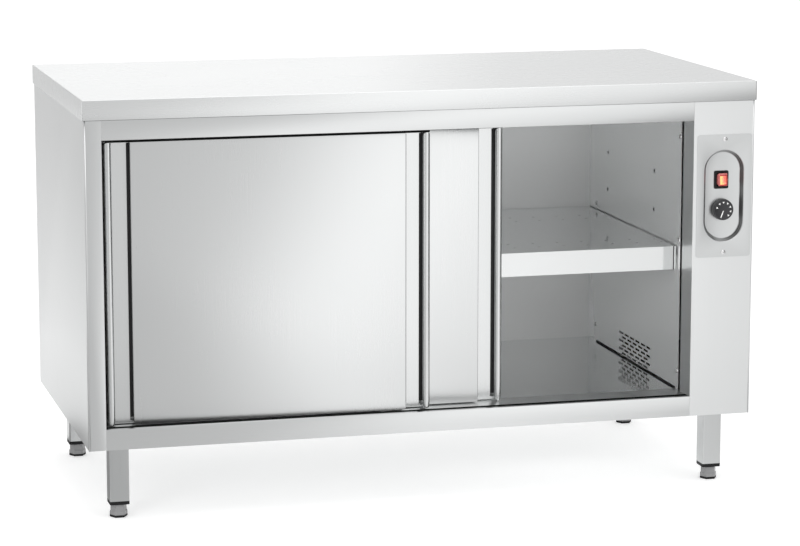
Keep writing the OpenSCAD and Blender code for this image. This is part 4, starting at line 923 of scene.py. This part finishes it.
def card(name, corners, axis, stops):
    """A card that only shows in what the steel reflects. Its light changes along an axis,
    0 for X, 1 for Y or 2 for Z, through (place, shade) stops."""
    mesh = bmesh.new()
    mesh.faces.new([mesh.verts.new(corner) for corner in corners])
    data = bpy.data.meshes.new(name)
    mesh.to_mesh(data)
    mesh.free()
    paper = Material(name, (0, 0, 0), 1.0, Emission_Strength=1.0, Specular_IOR_Level=0.0)
    along = paper.axes(paper.place())[axis]
    shade = stops[0][1]
    for (a, shade_a), (b, shade_b) in zip(stops, stops[1:]):
        shade = paper.ramp(along, a, b) * (shade_b - shade_a) + shade
    paper.vary("Emission Color", shade)
    data.materials.append(paper.data)
    sheet = bpy.data.objects.new(name, data)
    scene.collection.objects.link(sheet)
    sheet.visible_camera = False
    sheet.visible_diffuse = False
    sheet.visible_shadow = False


front_stops = [(-0.9, 0.70), (-0.35, 0.81), (0.15, 1.26), (0.40, 1.30),
               (0.80, 1.10), (1.25, 1.06), (1.9, 0.30)]
card("card_in_front", [(-2.6, -1.6, 0), (3.4, -1.6, 0), (3.4, -1.6, 2.2), (-2.6, -1.6, 2.2)],
     0, front_stops)
card("card_low_in_front",
     [(-2.6, -1.6, 0.001), (3.4, -1.6, 0.001), (3.4, -0.36, 0.001), (-2.6, -0.36, 0.001)],
     0, [(place, shade * 0.86) for place, shade in front_stops])
card("card_behind_left", [(-4, 1.5, 0), (-0.75, 1.5, 0), (-0.75, 1.5, 1.8), (-4, 1.5, 1.8)],
     2, [(0.05, 1.00), (0.30, 0.88), (0.60, 0.74), (1.8, 0.70)])
card("card_low_behind_left",
     [(-4, -0.3, 0.001), (-0.72, -0.3, 0.001), (-0.72, 1.5, 0.001), (-4, 1.5, 0.001)],
     1, [(-0.3, 0.90), (1.5, 1.10)])
card("card_behind", [(-4, 3, 0.86), (4.5, 3, 0.86), (4.5, 3, 2.4), (-4, 3, 2.4)],
     0, [(-1.5, 1.16), (0.7, 1.16), (1.2, 0.92), (2.0, 0.85)])
card("dark_card_by_legs",
     [(-1.2, -0.29, 0.002), (-0.655, -0.29, 0.002), (-0.655, 0.42, 0.002), (-1.2, 0.42, 0.002)],
     1, [(-1, dark_grey), (1, dark_grey)])
card("dark_flag_right", [(2.2, -1.58, 0), (2.2, 0.9, 0), (2.2, 0.9, 2.2), (2.2, -1.58, 2.2)],
     2, [(0, near_black), (3, near_black)])


def lamp(name, place, aim, size, power):
    """A rectangular soft lamp at a place, turned to a point."""
    data = bpy.data.lights.new(name, "AREA")
    data.shape = "RECTANGLE"
    data.size, data.size_y = size
    data.energy = power
    made = bpy.data.objects.new(name, data)
    made.location = place
    made.rotation_euler = (Vector(aim) - Vector(place)).to_track_quat("-Z", "Y").to_euler()
    scene.collection.objects.link(made)
    return made


for name, place, aim, size, power, spread in (
        ("left_fill", (-3.0, -3.4, 1.3), (0.5, 0, 0.45), (1.6, 1.6), 40, 180),
        ("upper_fill", (0.28, -0.75, 0.66), (0.40, 0.3, 0.60), (0.35, 0.12), 0.45, 70),
        ("lower_fill", (0.28, -0.75, 0.36), (0.42, 0.3, 0.30), (0.35, 0.12), 0.45, 70)):
    fill = lamp(name, place, aim, size, power)
    fill.data.spread = math.radians(spread)
    fill.visible_glossy = False
    fill.visible_camera = False
lamp("overhead_softbox", (0.3, -0.6, 3.4), (0, 0, 0.5), (3.2, 2.4), 18)
lamp("front_right_softbox", (2.8, -4.0, 1.9), (0, 0, 0.5), (1.6, 2.2), 14)

camera_data = bpy.data.cameras.new("camera")
camera_data.sensor_width = 36.0
camera_data.lens = 133.12
camera_data.clip_start = 0.1
camera_data.clip_end = 200.0
camera = bpy.data.objects.new("camera", camera_data)
yaw, pitch = 0.258, 0.1739
sight = Vector((math.sin(yaw) * math.cos(pitch), math.cos(yaw) * math.cos(pitch),
                -math.sin(pitch)))
camera.location = (-1.5592, -6.0282, 1.5136)
camera.rotation_euler = sight.to_track_quat("-Z", "Y").to_euler()
scene.collection.objects.link(camera)
scene.camera = camera
scene.view_settings.view_transform = "Standard"
